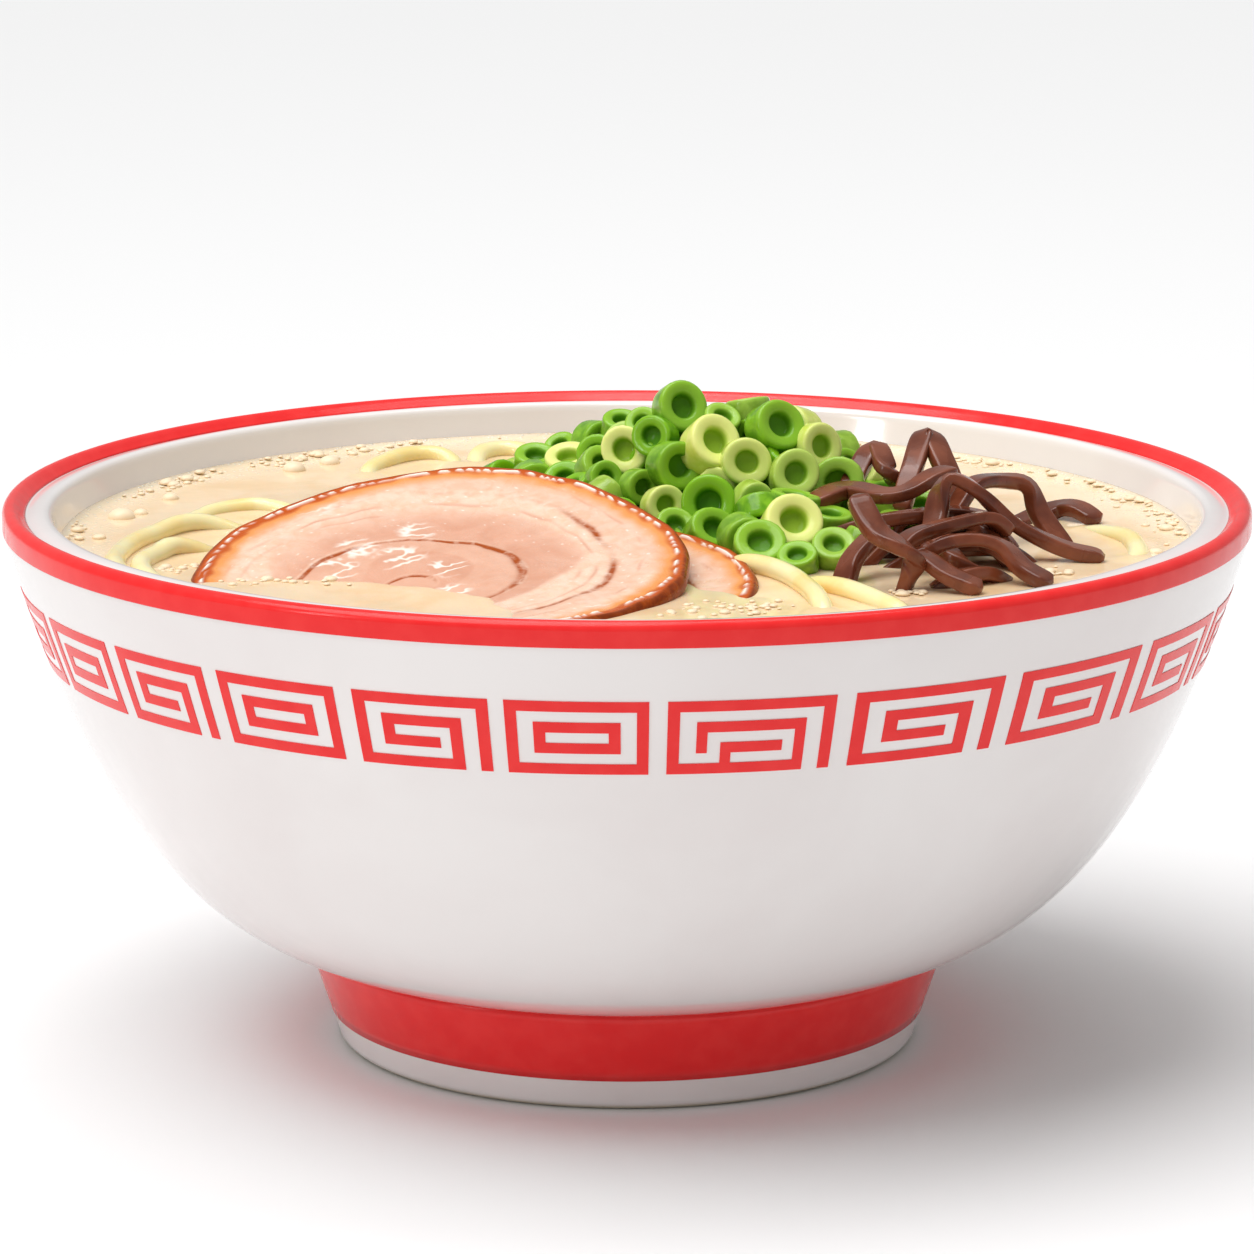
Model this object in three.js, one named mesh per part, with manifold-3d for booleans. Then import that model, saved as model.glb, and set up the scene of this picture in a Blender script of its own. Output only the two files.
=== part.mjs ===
// A bowl of ramen: a footed ceramic bowl filled with broth, a bundle of noodles that breaks the surface,
// two slices of rolled pork, a mound of sliced spring onion and a tangle of black mushroom strips.
//
// Millimetres, +Z up. The origin is the centre of the bowl's foot, on the surface it stands on.
// The diner sits at -Y, so +X is to the right.
import * as THREE from "three";
import { mergeVertices } from "three/addons/utils/BufferGeometryUtils.js";
import Module from "manifold-3d";

const wasm = await Module();
wasm.setup();

// ---------------------------------------------------------------- driving dimensions
const GAP = 0.35; // clearance between pieces that touch

const BOWL = {
  height: 93.6,
  rimRadius: 105,
  bandBottom: 89.9, // where the wall turns straight up into the rim
  root: 14.5, // height at which the outer curve would reach the axis
  power: 0.205, // outer radius grows with this power of the height above the root
  lipRadius: 1.4,
  groove: [101.3, 92], // the dip between the lip and the ledge inside it, radius and height
  ledge: [
    [99.6, 92.5],
    [97.6, 92.6],
  ],
  throatRadius: 96.6,
  throat: 91,
  floor: 21,
  innerPower: 0.2,
  segments: 48,
};

const FOOT = {
  top: 17.7,
  outerBottom: 49.8,
  edge: 2.2, // rounding of the ring's outer lower edge
  standOuter: 47.6, // the flat that the bowl stands on
  standInner: 44.2,
  innerTop: 45.4,
  recess: 12.6, // height of the recess under the bowl
};

const BROTH_LEVEL = 86.4;

const NOODLES = {
  radius: 76,
  bottom: 34,
  top: 82.2,
  strand: 3.4, // diameter of one noodle
  sides: 5,
};

// Each pork slice lies on (u, v), shares of its long and short half-axes, and its height over the broth is
// lift + back v + arch v^2 + side u, less a hollow of depth dip that the broth runs into.
const PORK_THICKNESS = 3.3;
const PORK_HOLLOW = { u: -0.3, v: -0.5, reachU: 0.5, reachV: 0.42 };
const PORK_SLICES = {
  pork_slice_upper: {
    centre: [-31.2, -40.2],
    half: [40.8, 38.8],
    turn: -15,
    shape: { lift: 2.4, back: 5.8, arch: 4.4, side: 0.2, dip: 6.0 },
  },
  pork_slice_lower: {
    centre: [-19, -42.6],
    half: [39.6, 38.2],
    turn: -17,
    shape: { lift: -3.8, back: 5.0, arch: 3.0, side: 3.6, dip: 3.6 },
  },
};

// The mound of spring onion: bumps [x, y, height, spread], added up above the broth.
const ONION = {
  bumps: [
    [10, 14, 15.5, 18],
    [27, 5, 11.5, 15],
    [-5, 36, 7, 14.5],
    [27, -19, 5.5, 12],
    [36, 20, 5, 13],
  ],
  edge: 1.6, // the mound ends where its height falls to this
  sunk: 1.4,
  ringRadius: 5.0,
  holeRadius: 2.3,
  ringLength: 5.0,
  rings: 12,
};

const STRIP = { width: 3.9, thickness: 1.7, sunk: 1.6 };
const TANGLE = { x: 52, y: -22, halfX: 19, halfY: 25, height: 6.5, shear: 0.35 };

// Centre lines of the mushroom strips, [x, y, height over the broth].
const STRIPS = [
  [[31, -14, 3], [37, -9, 9], [44, -12, 9.5], [50, -11, 12], [55, -8, 12.5], [60, -10, 3]],
  [[34, -9, 0], [38, 1, 10], [42, 6, 13.6], [45, 1, 10.5], [49, -8, 1]],
  [[45, -8, 0], [49, 2, 12], [51.5, 8, 15.6], [53.5, 2, 11], [56, -8, 1]],
  [[50, -28, 0], [50.5, -23, 8], [53.5, -21, 12.6], [61, -22, 9], [69, -22, 2.6], [80, -22, 0.9]],
  [[53, -17, 2], [58, -9, 9.5], [64, -4, 10.6], [69, -4, 5], [73, -9, -1]],
  [[58, -6, 1], [66, 8, 1], [73, 14.5, 1.3], [78, 12.5, 1.6], [82, 8, 0.3]],
  [[36.5, -40, 14], [41, -47, 11], [46, -49, 7], [47, -44, 2], [45, -40, -1]],
  [[42, -44, 5], [50, -37, 8.4], [57, -29, 8.4], [60, -22, 2]],
  [[45, -38, 0], [49, -43, 5], [54, -41, 6.8], [59, -38, 5.6], [64, -43, 2.4], [69, -43, 0.4]],
  [[46, -34, 3], [50, -44, 3], [57, -50, 0.7]],
  [[46, -24, 4], [40, -33, 5], [35.5, -39, -0.6]],
  [[57, -22, 3.4], [63, -27, 4], [68, -31, 0.8]],
  [[36, -18, 1], [43, -18, 6], [52, -16, 7], [60, -15, 3]],
  [[42, -31, 1], [50, -27, 6], [59, -18, 6.4], [66, -11, 1]],
];

// Noodles that break the surface, [x, y, height over the broth], each end diving into the bundle.
const STRANDS = [
  [[-60, -28, -9], [-79, -27, -2.5], [-83, -17, 0.2], [-80, -6, 0.8], [-76, 1, 0.8], [-70, 6, 0.6], [-50, 4, -8]],
  [[-58, -36, -9], [-75, -36, -2], [-79, -29, 0.3], [-77, -22, 0.8], [-73, -16, 0.6], [-56, -11, -8]],
  [[-62, 2, -9], [-74, 9, -1.4], [-73, 16, -0.2], [-68, 21, 0.1], [-62, 22, 0], [-54, 17, -1.8], [-44, 8, -8]],
  [[-40, 42, -9], [-46, 55, -1.2], [-42, 64, 0.5], [-37, 70, 0.7], [-31, 70, 0.4], [-26, 62, -2], [-22, 46, -9]],
  [[-28, 48, -9], [-33, 61, -1.2], [-28, 71, 0.5], [-23, 75, 0.7], [-18, 73, 0.3], [-13, 63, -2.5], [-12, 48, -9]],
  [[8, -22, -10], [14, -28, -2.5], [19, -32, 1], [24, -37, 1.4], [28, -46, 1], [31, -60, -0.4], [32, -70, -9]],
  [[20, -31, -10], [25, -38, -3.5], [29, -44, -0.4], [34, -50, 1], [40, -59, 0.6], [44, -65, -1.4], [46, -73, -9]],
  [[60, 12, -9], [76, 6, -2], [82, -2, 0.1], [85, -11, 0.2], [83, -21, -2.2], [68, -26, -11]],
];

// ---------------------------------------------------------------- helpers
const radians = THREE.MathUtils.degToRad;
const ramp = (count) => Array.from({ length: count }, (_, i) => i / (count - 1));

/** A closed three.js geometry as a manifold-3d solid. */
function solid(geometry) {
  const bare = new THREE.BufferGeometry();
  bare.setAttribute("position", geometry.getAttribute("position"));
  bare.setIndex(geometry.getIndex());
  const merged = mergeVertices(bare, 1e-4);
  const made = new wasm.Manifold(
    new wasm.Mesh({
      numProp: 3,
      vertProperties: merged.attributes.position.array,
      triVerts: new Uint32Array(merged.index.array),
    }),
  );
  return made;
}

/** The largest connected body of a solid: crumbs cut off by their neighbours are dropped. */
function largest(made) {
  const bodies = made.decompose();
  return bodies.reduce((a, b) => (b.volume() > a.volume() ? b : a));
}

function geometryOf(made) {
  const mesh = made.getMesh();
  const geometry = new THREE.BufferGeometry();
  geometry.setAttribute("position", new THREE.BufferAttribute(mesh.vertProperties, 3));
  geometry.setIndex(new THREE.BufferAttribute(mesh.triVerts, 1));
  geometry.computeVertexNormals();
  return geometry;
}

/** A profile of [radius, height] points, bottom first, turned about the Z axis. */
function turned(profile, segments) {
  const points = profile.map(([r, z]) => new THREE.Vector2(Math.max(r, 0), z));
  return new THREE.LatheGeometry(points, segments).rotateX(Math.PI / 2);
}

/** Moves every vertex of a geometry with move(Vector3). */
function warped(geometry, move) {
  const place = geometry.getAttribute("position");
  const v = new THREE.Vector3();
  for (let i = 0; i < place.count; i++) {
    v.fromBufferAttribute(place, i);
    move(v);
    place.setXYZ(i, v.x, v.y, v.z);
  }
  return geometry;
}

/** Bends a bar that runs along X from 0 to 1 onto a path, its Z side kept as upright as it can be. */
function bent(bar, points) {
  const path = new THREE.CatmullRomCurve3(
    points.map(([x, y, h]) => new THREE.Vector3(x, y, BROTH_LEVEL + h)),
    false,
    "centripetal",
  );
  const up = new THREE.Vector3(0, 0, 1);
  const length = path.getLength();
  return warped(bar, (v) => {
    const at = THREE.MathUtils.clamp(v.x, 0, 1);
    const beyond = length * (v.x - at);
    const along = path.getTangentAt(at);
    const flat = new THREE.Vector3(along.x, along.y, 0).normalize();
    const side = new THREE.Vector3().crossVectors(up, flat);
    const top = new THREE.Vector3().crossVectors(along, side).normalize();
    const middle = path.getPointAt(at).addScaledVector(along, beyond);
    v.copy(middle.addScaledVector(side, v.y).addScaledVector(top, v.z));
  });
}

// ---------------------------------------------------------------- bowl
function outerRadius(z) {
  return BOWL.rimRadius * ((z - BOWL.root) / (BOWL.bandBottom - BOWL.root)) ** BOWL.power;
}

function innerRadius(z) {
  return BOWL.throatRadius * ((z - BOWL.floor) / (BOWL.throat - BOWL.floor)) ** BOWL.innerPower;
}

/** The inner wall from the middle of the floor up to the broth, moved in and up by a clearance. */
function innerWall(clearance) {
  return ramp(7).map((t) => {
    const z = BOWL.floor + (BROTH_LEVEL - BOWL.floor) * t ** 1.9;
    return [
      t === 0 ? 0 : innerRadius(z) - clearance,
      t === 1 ? z : z + clearance,
    ];
  });
}

function bowl() {
  const { height, rimRadius, lipRadius, groove, ledge, throat, throatRadius } = BOWL;
  const footEdge = ramp(3).map((t) => {
    const a = (t * Math.PI) / 2;
    return [
      FOOT.outerBottom - FOOT.edge * (1 - Math.sin(a)),
      FOOT.edge * (1 - Math.cos(a)),
    ];
  });
  const outer = ramp(8).map((t) => {
    const z = FOOT.top + (BOWL.bandBottom - FOOT.top) * t ** 1.7;
    return [outerRadius(z), z];
  });
  const lip = ramp(5).map((t) => {
    const a = radians(110 * t);
    return [
      rimRadius - lipRadius * (1 - Math.cos(a)),
      height - lipRadius * (1 - Math.sin(a)),
    ];
  });
  return turned(
    [
      [0, FOOT.recess],
      [FOOT.innerTop - 2, FOOT.recess],
      [FOOT.innerTop, FOOT.recess - 2],
      [FOOT.standInner, 0],
      [FOOT.standOuter, 0],
      ...footEdge.slice(1),
      ...outer,
      ...lip,
      groove,
      ...ledge,
      [throatRadius, throat],
      ...innerWall(0).toReversed(),
    ],
    BOWL.segments,
  );
}

// ---------------------------------------------------------------- noodles
function noodleCore(grow) {
  const half = (NOODLES.top - NOODLES.bottom) / 2;
  const profile = ramp(7).map((t) => {
    const a = Math.PI * (t - 0.5);
    const width = t === 0 || t === 1 ? 0 : Math.cos(a) ** 0.3;
    return [(NOODLES.radius + grow) * width, (half + grow) * Math.sin(a)];
  });
  return warped(turned(profile, 24), (v) => {
    const angle = Math.atan2(v.y, v.x);
    const swell = 1 + 0.025 * Math.sin(3 * angle + 1) + 0.02 * Math.sin(5 * angle);
    v.x *= swell;
    v.y *= swell;
    v.z += NOODLES.bottom + half;
  });
}

function strand(points, grow) {
  const radius = NOODLES.strand / 2 + grow;
  const steps = points.length + 4;
  const bar = new THREE.CylinderGeometry(radius, radius, 1 + grow / 10, NOODLES.sides, steps);
  bar.rotateZ(-Math.PI / 2).translate(0.5, 0, 0);
  return bent(bar, points);
}

function noodles(grow) {
  return STRANDS.reduce(
    (whole, points) => whole.add(solid(strand(points, grow))),
    solid(noodleCore(grow)),
  );
}

// ---------------------------------------------------------------- pork
function porkHeight({ lift, back, arch, side, dip }, u, v) {
  const across = (u - PORK_HOLLOW.u) / PORK_HOLLOW.reachU;
  const along = (v - PORK_HOLLOW.v) / PORK_HOLLOW.reachV;
  const hollow = dip * Math.exp(-(across ** 2) - along ** 2);
  return lift + back * v + arch * v * v + side * u - hollow;
}

/** A flat disc with a rounded edge, its outline made uneven, laid over the slice's own surface. */
function porkSlice({ centre, half, turn, shape }, grow) {
  const edge = PORK_THICKNESS / 2 + grow;
  const rim = ramp(4).map((t) => {
    const a = Math.PI * (t - 0.5);
    return [1 - 0.04 * (1 - Math.cos(a)), edge * Math.sin(a)];
  });
  const inner = [0.4, 0.7].map((r) => [r, edge]);
  const profile = [
    [0, -edge],
    ...inner.map(([r, z]) => [r, -z]),
    ...rim,
    ...inner.toReversed(),
    [0, edge],
  ];
  const facing = radians(turn);
  return warped(turned(profile, 32), (v) => {
    const angle = Math.atan2(v.y, v.x);
    const uneven = 1 + 0.012 * Math.sin(3 * angle + 0.8) + 0.01 * Math.sin(5 * angle);
    const z = v.z;
    const a = v.x * uneven * (half[0] + grow);
    const b = v.y * uneven * (half[1] + grow);
    const height = porkHeight(shape, a / half[0], b / half[1]);
    v.set(
      centre[0] + a * Math.cos(facing) - b * Math.sin(facing),
      centre[1] + a * Math.sin(facing) + b * Math.cos(facing),
      BROTH_LEVEL + height - PORK_THICKNESS / 2 + z,
    );
  });
}

// ---------------------------------------------------------------- spring onion
function moundHeight(x, y) {
  return ONION.bumps.reduce(
    (sum, [bx, by, height, spread]) =>
      sum + height * Math.exp(-((x - bx) ** 2 + (y - by) ** 2) / spread ** 2),
    0,
  );
}

/** The distance from the mound's middle, in a direction, at which it falls to the height of its edge. */
function moundReach(angle, [mx, my]) {
  let reach = 10;
  while (moundHeight(mx + reach * Math.cos(angle), my + reach * Math.sin(angle)) > ONION.edge) {
    reach += 0.5;
  }
  return reach;
}

function moundCore(grow) {
  const middle = ONION.bumps[0];
  const under = ramp(2).map((t) => [t, -1]);
  const over = ramp(6).map((t) => [1 - t, 1]);
  return warped(turned([...under, ...over], 20), (v) => {
    const angle = Math.atan2(v.y, v.x);
    const reach = (moundReach(angle, middle) + grow) * Math.hypot(v.x, v.y);
    const x = middle[0] + reach * Math.cos(angle);
    const y = middle[1] + reach * Math.sin(angle);
    const height = v.z < 0 ? -ONION.sunk - grow : moundHeight(x, y) - 1 + grow;
    v.set(x, y, BROTH_LEVEL + height);
  });
}

/** One short tube of spring onion with its hole open at both ends. */
function onionRing(grow) {
  const wall = [
    [ONION.holeRadius - grow, -ONION.ringLength / 2 - grow],
    [ONION.ringRadius + grow, -ONION.ringLength / 2 - grow],
    [ONION.ringRadius + grow, ONION.ringLength / 2 + grow],
    [ONION.holeRadius - grow, ONION.ringLength / 2 + grow],
  ];
  return turned([...wall, wall[0]], 6);
}

/** The rings that show lie on a sunflower spiral over the mound, each tipped its own way. */
function onionRings(grow) {
  const middle = ONION.bumps[0];
  const golden = Math.PI * (3 - Math.sqrt(5));
  return Array.from({ length: ONION.rings }, (_, i) => {
    const angle = i * golden + 0.6;
    const share = 0.62 * Math.sqrt((i + 0.3) / ONION.rings);
    const reach = share * moundReach(angle, middle);
    const x = middle[0] + reach * Math.cos(angle);
    const y = middle[1] + reach * Math.sin(angle);
    const ring = onionRing(grow);
    ring.rotateX(radians(35 + 50 * Math.sin(2.1 * i))).rotateZ(1.7 * i);
    return ring.translate(x, y, BROTH_LEVEL + moundHeight(x, y) + 0.8);
  });
}

function onionMound(grow) {
  return onionRings(grow).reduce(
    (whole, ring) => whole.add(solid(ring)),
    solid(moundCore(grow)),
  );
}

// ---------------------------------------------------------------- mushroom
function strip(points, grow) {
  const bar = new THREE.BoxGeometry(
    1 + grow / 10,
    STRIP.width + 2 * grow,
    STRIP.thickness + 2 * grow,
    points.length + 2,
    1,
    1,
  );
  return bent(bar.translate(0.5, 0, 0), points);
}

/** The low heap of buried strips that the ones on top lie on. */
function mushroomCore(grow) {
  const { x, y, halfX, halfY, height, shear } = TANGLE;
  const profile = ramp(4).map((t) => {
    const a = (Math.PI / 2) * t;
    return [Math.cos(a), Math.sin(a)];
  });
  return warped(turned([[0, -1], [0.9, -1], ...profile], 14), (v) => {
    v.x = x + v.x * (halfX + grow);
    v.y = y + v.y * (halfY + grow) + shear * (v.x - x);
    v.z = BROTH_LEVEL + (v.z < 0 ? -STRIP.sunk - grow : v.z * (height + grow));
  });
}

function mushroomTangle(grow) {
  return STRIPS.reduce(
    (whole, points) => whole.add(solid(strip(points, grow))),
    solid(mushroomCore(grow)),
  );
}

// ---------------------------------------------------------------- broth
/** The bowl's inside, clear of its wall, up to the level of the broth. */
function bowlFill() {
  return turned([...innerWall(GAP), [0, BROTH_LEVEL]], BOWL.segments);
}

// ---------------------------------------------------------------- assembly
const clearOfSlices = Object.values(PORK_SLICES).map((slice) => solid(porkSlice(slice, GAP)));
const clearOfMound = onionMound(GAP);
const clearOfTangle = mushroomTangle(GAP);

const without = (made, ...cutters) => cutters.reduce((left, cutter) => left.subtract(cutter), made);

const solids = {
  pork_slice_lower: without(solid(porkSlice(PORK_SLICES.pork_slice_lower, 0)), clearOfSlices[0]),
  noodles: without(noodles(0), ...clearOfSlices, clearOfMound, clearOfTangle),
  spring_onion: without(onionMound(0), ...clearOfSlices),
  mushroom: without(mushroomTangle(0), ...clearOfSlices, clearOfMound),
  broth: without(
    solid(bowlFill()),
    noodles(GAP),
    ...clearOfSlices,
    clearOfMound,
    clearOfTangle,
  ),
};

const LOOKS = {
  bowl: { color: 0xf1ebe9, roughness: 0.18 },
  broth: { color: 0xecd6b0, roughness: 0.25 },
  noodles: { color: 0xf6df96, roughness: 0.35 },
  pork_slice_upper: { color: 0xe6bda3, roughness: 0.4 },
  pork_slice_lower: { color: 0xe6bda3, roughness: 0.4 },
  spring_onion: { color: 0x5aa82a, roughness: 0.35 },
  mushroom: { color: 0x4a2a20, roughness: 0.3 },
};

const ramen = new THREE.Group();

function place(name, geometry) {
  const material = new THREE.MeshStandardMaterial({ ...LOOKS[name], metalness: 0 });
  const mesh = new THREE.Mesh(geometry, material);
  mesh.name = name;
  ramen.add(mesh);
}

place("bowl", bowl());
place("pork_slice_upper", porkSlice(PORK_SLICES.pork_slice_upper, 0));
Object.entries(solids).forEach(([name, made]) => place(name, geometryOf(largest(made))));

export default ramen;
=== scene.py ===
"""A bowl of ramen: footed bowl, red enamel, broth, noodles, rolled pork, spring onion and mushroom.

Shapes are worked out as numpy arrays in millimetres, in the frame's axes: +Z up, the diner at -Y, +X to
the diner's right, the origin under the middle of the foot. They become meshes in metres. Angles round the
bowl, called bearings, start at the diner's side and grow towards +X.
"""

import logging
import math
from collections.abc import Sequence
from dataclasses import dataclass, field
from enum import Enum

import bmesh
import bpy
import numpy as np
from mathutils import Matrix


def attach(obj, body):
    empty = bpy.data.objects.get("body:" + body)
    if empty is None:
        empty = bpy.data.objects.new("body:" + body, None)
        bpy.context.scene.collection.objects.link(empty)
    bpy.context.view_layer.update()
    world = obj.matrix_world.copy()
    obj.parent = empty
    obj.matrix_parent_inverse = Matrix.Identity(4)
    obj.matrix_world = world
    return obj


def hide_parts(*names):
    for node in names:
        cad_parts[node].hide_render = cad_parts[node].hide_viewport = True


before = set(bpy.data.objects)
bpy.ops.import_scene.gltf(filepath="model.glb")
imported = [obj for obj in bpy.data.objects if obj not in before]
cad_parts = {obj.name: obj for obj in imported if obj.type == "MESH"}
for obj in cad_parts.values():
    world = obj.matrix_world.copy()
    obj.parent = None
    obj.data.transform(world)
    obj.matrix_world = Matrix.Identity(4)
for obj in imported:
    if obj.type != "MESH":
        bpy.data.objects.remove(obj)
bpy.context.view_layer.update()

log = logging.getLogger("ramen")

# A millimetre in metres, the broth's height in millimetres and the height that lights aim at, in metres.
MM = 0.001
BROTH_LEVEL = 86.4
LIT_HEIGHT = 0.06

Array = np.ndarray
Socket = bpy.types.NodeSocket
Pair = tuple[float, float]
Point = tuple[float, float, float]
Colour = tuple[float, float, float, float]
Tint = Socket | Colour


# -------------------------------------------------------------------------------- shapes
@dataclass
class Shape:
    """A surface in the making.

    Attributes:
        points: Corners in millimetres, one row each.
        faces: Arrays of corner numbers, each array with one face size.
        marks: Values carried by the corners, by name, for a finish to read.
    """

    points: Array
    faces: list[Array]
    marks: dict[str, Array] = field(default_factory=dict)

    def marked(self, **values: Array | float) -> "Shape":
        """Gives every corner a value under each name, and returns the shape itself."""
        for name, value in values.items():
            self.marks[name] = np.broadcast_to(np.asarray(value, float), len(self.points)).copy()
        return self

    def piece(self, name: str, finish: bpy.types.Material, smooth: bool = True) -> bpy.types.Object:
        """Makes the Blender object.

        Args:
            name: The piece's name.
            finish: Its material.
            smooth: Whether the surface is shaded smooth.

        Returns:
            The object, at the origin, with its faces pointing outwards.
        """
        mesh = bpy.data.meshes.new(name)
        sizes = np.concatenate([np.full(len(f), f.shape[1]) for f in self.faces])
        mesh.vertices.add(len(self.points))
        mesh.vertices.foreach_set("co", (self.points * MM).astype(np.float32).ravel())
        mesh.loops.add(int(sizes.sum()))
        mesh.loops.foreach_set("vertex_index", np.concatenate([f.ravel() for f in self.faces]))
        mesh.polygons.add(len(sizes))
        mesh.polygons.foreach_set("loop_start", np.concatenate([[0], np.cumsum(sizes)[:-1]]))
        mesh.update(calc_edges=True)
        mesh.validate()
        work = bmesh.new()
        work.from_mesh(mesh)
        bmesh.ops.recalc_face_normals(work, faces=work.faces)
        work.to_mesh(mesh)
        work.free()
        for mark, values in self.marks.items():
            layer = mesh.attributes.new(mark, "FLOAT", "POINT")
            layer.data.foreach_set("value", values.astype(np.float32))
        mesh.polygons.foreach_set("use_smooth", np.full(len(mesh.polygons), smooth))
        mesh.materials.append(finish)
        made = bpy.data.objects.new(name, mesh)
        bpy.context.scene.collection.objects.link(made)
        return made


def joined(shapes: Sequence[Shape]) -> Shape:
    """Puts several shapes into one; a mark that a shape lacks is 0 there."""
    starts = np.cumsum([0] + [len(s.points) for s in shapes])
    names = dict.fromkeys(name for s in shapes for name in s.marks)
    points = np.vstack([s.points for s in shapes])
    faces = [rows + start for s, start in zip(shapes, starts) for rows in s.faces]
    marks = {n: np.concatenate([s.marks.get(n, np.zeros(len(s.points))) for s in shapes]) for n in names}
    return Shape(points, faces, marks)


def grid_faces(rows: int, columns: int, wrap_rows: bool = False, wrap_columns: bool = False) -> Array:
    """The four-cornered faces of a grid of points, which may close on itself either way."""
    index = np.arange(rows * columns).reshape(rows, columns)
    if wrap_rows:
        index = np.vstack([index, index[:1]])
    if wrap_columns:
        index = np.hstack([index, index[:, :1]])
    corners = [index[:-1, :-1], index[:-1, 1:], index[1:, 1:], index[1:, :-1]]
    return np.stack(corners, axis=-1).reshape(-1, 4)


def fan(row: Array, tip: int) -> Array:
    """Triangles from each side of a closed row of points to one tip."""
    return np.stack([row, np.roll(row, -1), np.full(len(row), tip)], axis=-1)


def tube_faces(rows: int, columns: int) -> list[Array]:
    """The faces of closed rows of points, and fans from the first and last row to two further points."""
    count = rows * columns
    ends = [fan(np.arange(columns), count), fan(np.arange(count - columns, count), count + 1)]
    return [grid_faces(rows, columns, wrap_columns=True), *ends]


def around(radius: Array, bearing: Array, z: Array) -> Array:
    """Points at a distance from the Z axis, a bearing and a height: (r sin a, -r cos a, z)."""
    return np.stack([radius * np.sin(bearing), -radius * np.cos(bearing), z + 0 * bearing], axis=-1)


def lathe(profile: Array, segments: int, closed: bool = False) -> Shape:
    """Turns a profile about the Z axis: the point of row i at bearing a is (r_i sin a, -r_i cos a, z_i).

    Args:
        profile: Rows of radius and height. A first or last radius of 0 is a pole.
        segments: Steps round the axis.
        closed: Whether the profile ends where it starts.

    Returns:
        The turned surface: the rows of points in turn, then the poles.
    """
    bearing = np.linspace(0, 2 * np.pi, segments, endpoint=False)
    rings = profile[profile[:, 0] > 0]
    points = around(rings[:, :1], bearing, rings[:, 1:]).reshape(-1, 3)
    faces = [grid_faces(len(rings), segments, closed, True)]
    for end, first in ((0, 0), (-1, (len(rings) - 1) * segments)):
        if profile[end, 0] == 0:
            faces.append(fan(np.arange(first, first + segments), len(points)))
            points = np.vstack([points, [0, 0, profile[end, 1]]])
    return Shape(points, faces)


def drawn_in(radius: Array) -> Array:
    """The radii of a profile, the first and the last set to 0, so that a lathe makes poles of them."""
    return np.concatenate([[0], radius[1:-1], [0]])


def smooth_path(controls: Sequence[Sequence[float]], step: float) -> Array:
    """A curve through control points, sampled evenly.

    Between two controls it is the cubic that leaves each one parallel to the line between its neighbours
    (Catmull-Rom). The samples are then moved to equal distances along it.

    Args:
        controls: Points to pass through.
        step: The distance between samples, in millimetres.

    Returns:
        The samples, one row each.
    """
    knots = np.asarray(controls, float)
    padded = np.vstack([2 * knots[0] - knots[1], knots, 2 * knots[-1] - knots[-2]])
    t = np.linspace(0, len(knots) - 1.000001, 40 * len(knots))
    i = t.astype(int)
    f = (t - i)[:, None]
    a, b, c, d = padded[i], padded[i + 1], padded[i + 2], padded[i + 3]
    square, cube = 2 * a - 5 * b + 4 * c - d, 3 * b - a - 3 * c + d
    curve = 0.5 * (2 * b + (c - a) * f + square * f**2 + cube * f**3)
    run = np.concatenate([[0], np.cumsum(np.linalg.norm(np.diff(curve, axis=0), axis=1))])
    even = np.linspace(0, run[-1], max(int(run[-1] / step), 4))
    return np.stack([np.interp(even, run, curve[:, k]) for k in range(3)], axis=-1)


def unit(vectors: Array) -> Array:
    """The same directions with a length of 1."""
    return vectors / np.maximum(np.linalg.norm(vectors, axis=-1, keepdims=True), 1e-9)


def softened(values: Array, reach: int) -> Array:
    """Values along a path, each one averaged with its neighbours within reach."""
    weight = np.hanning(2 * reach + 3)[1:-1]
    padded = np.pad(values, ((reach, reach), (0, 0)), mode="edge")
    return np.stack([np.convolve(padded[:, k], weight / weight.sum(), "valid") for k in range(3)], axis=-1)


def swept(path: Array, section: Array, sizes: Array, twist: Array | float = 0.0) -> Shape:
    """Carries a closed section along a path.

    The corner of section point j at path point i is path_i + x_ij side_i + y_ij top_i, where side is level
    and across the path, and top is square to both. Each end closes on the path's own end point.

    Args:
        path: Points along the middle.
        section: Rows of sideways and upward distance.
        sizes: For each path point, what the section's two distances are multiplied by.
        twist: For each path point, the angle by which the section is turned.

    Returns:
        The closed surface.
    """
    ahead = unit(np.gradient(path, axis=0))
    level = softened(ahead * [1, 1, 0], 4)
    side = unit(np.cross([0, 0, 1.0], level))
    top = unit(np.cross(ahead, side))
    side = np.cross(top, ahead)
    turn = np.broadcast_to(twist, len(path))[:, None]
    side, top = side * np.cos(turn) + top * np.sin(turn), top * np.cos(turn) - side * np.sin(turn)
    x = section[None, :, :1] * sizes[:, None, :1]
    y = section[None, :, 1:] * sizes[:, None, 1:]
    points = path[:, None] + x * side[:, None] + y * top[:, None]
    return Shape(np.vstack([points.reshape(-1, 3), path[:1], path[-1:]]), tube_faces(*points.shape[:2]))


def copies(shape: Shape, places: Array, turns: Array, sizes: Array) -> Shape:
    """Repeats a shape: copy n has its corners at place_n + turn_n (size_n corner).

    Args:
        shape: What is repeated.
        places: One row for each copy.
        turns: One 3 by 3 rotation for each copy.
        sizes: One row of three factors for each copy.

    Returns:
        All the copies in one shape, one after the other.
    """
    count, corners = len(places), len(shape.points)
    scaled = shape.points[None] * sizes[:, None]
    points = places[:, None] + np.einsum("nij,ncj->nci", turns, scaled)
    starts = np.arange(count)[:, None, None] * corners
    faces = [(f[None] + starts).reshape(-1, f.shape[1]) for f in shape.faces]
    marks = {name: np.tile(values, count) for name, values in shape.marks.items()}
    return Shape(points.reshape(-1, 3), faces, marks)


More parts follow.
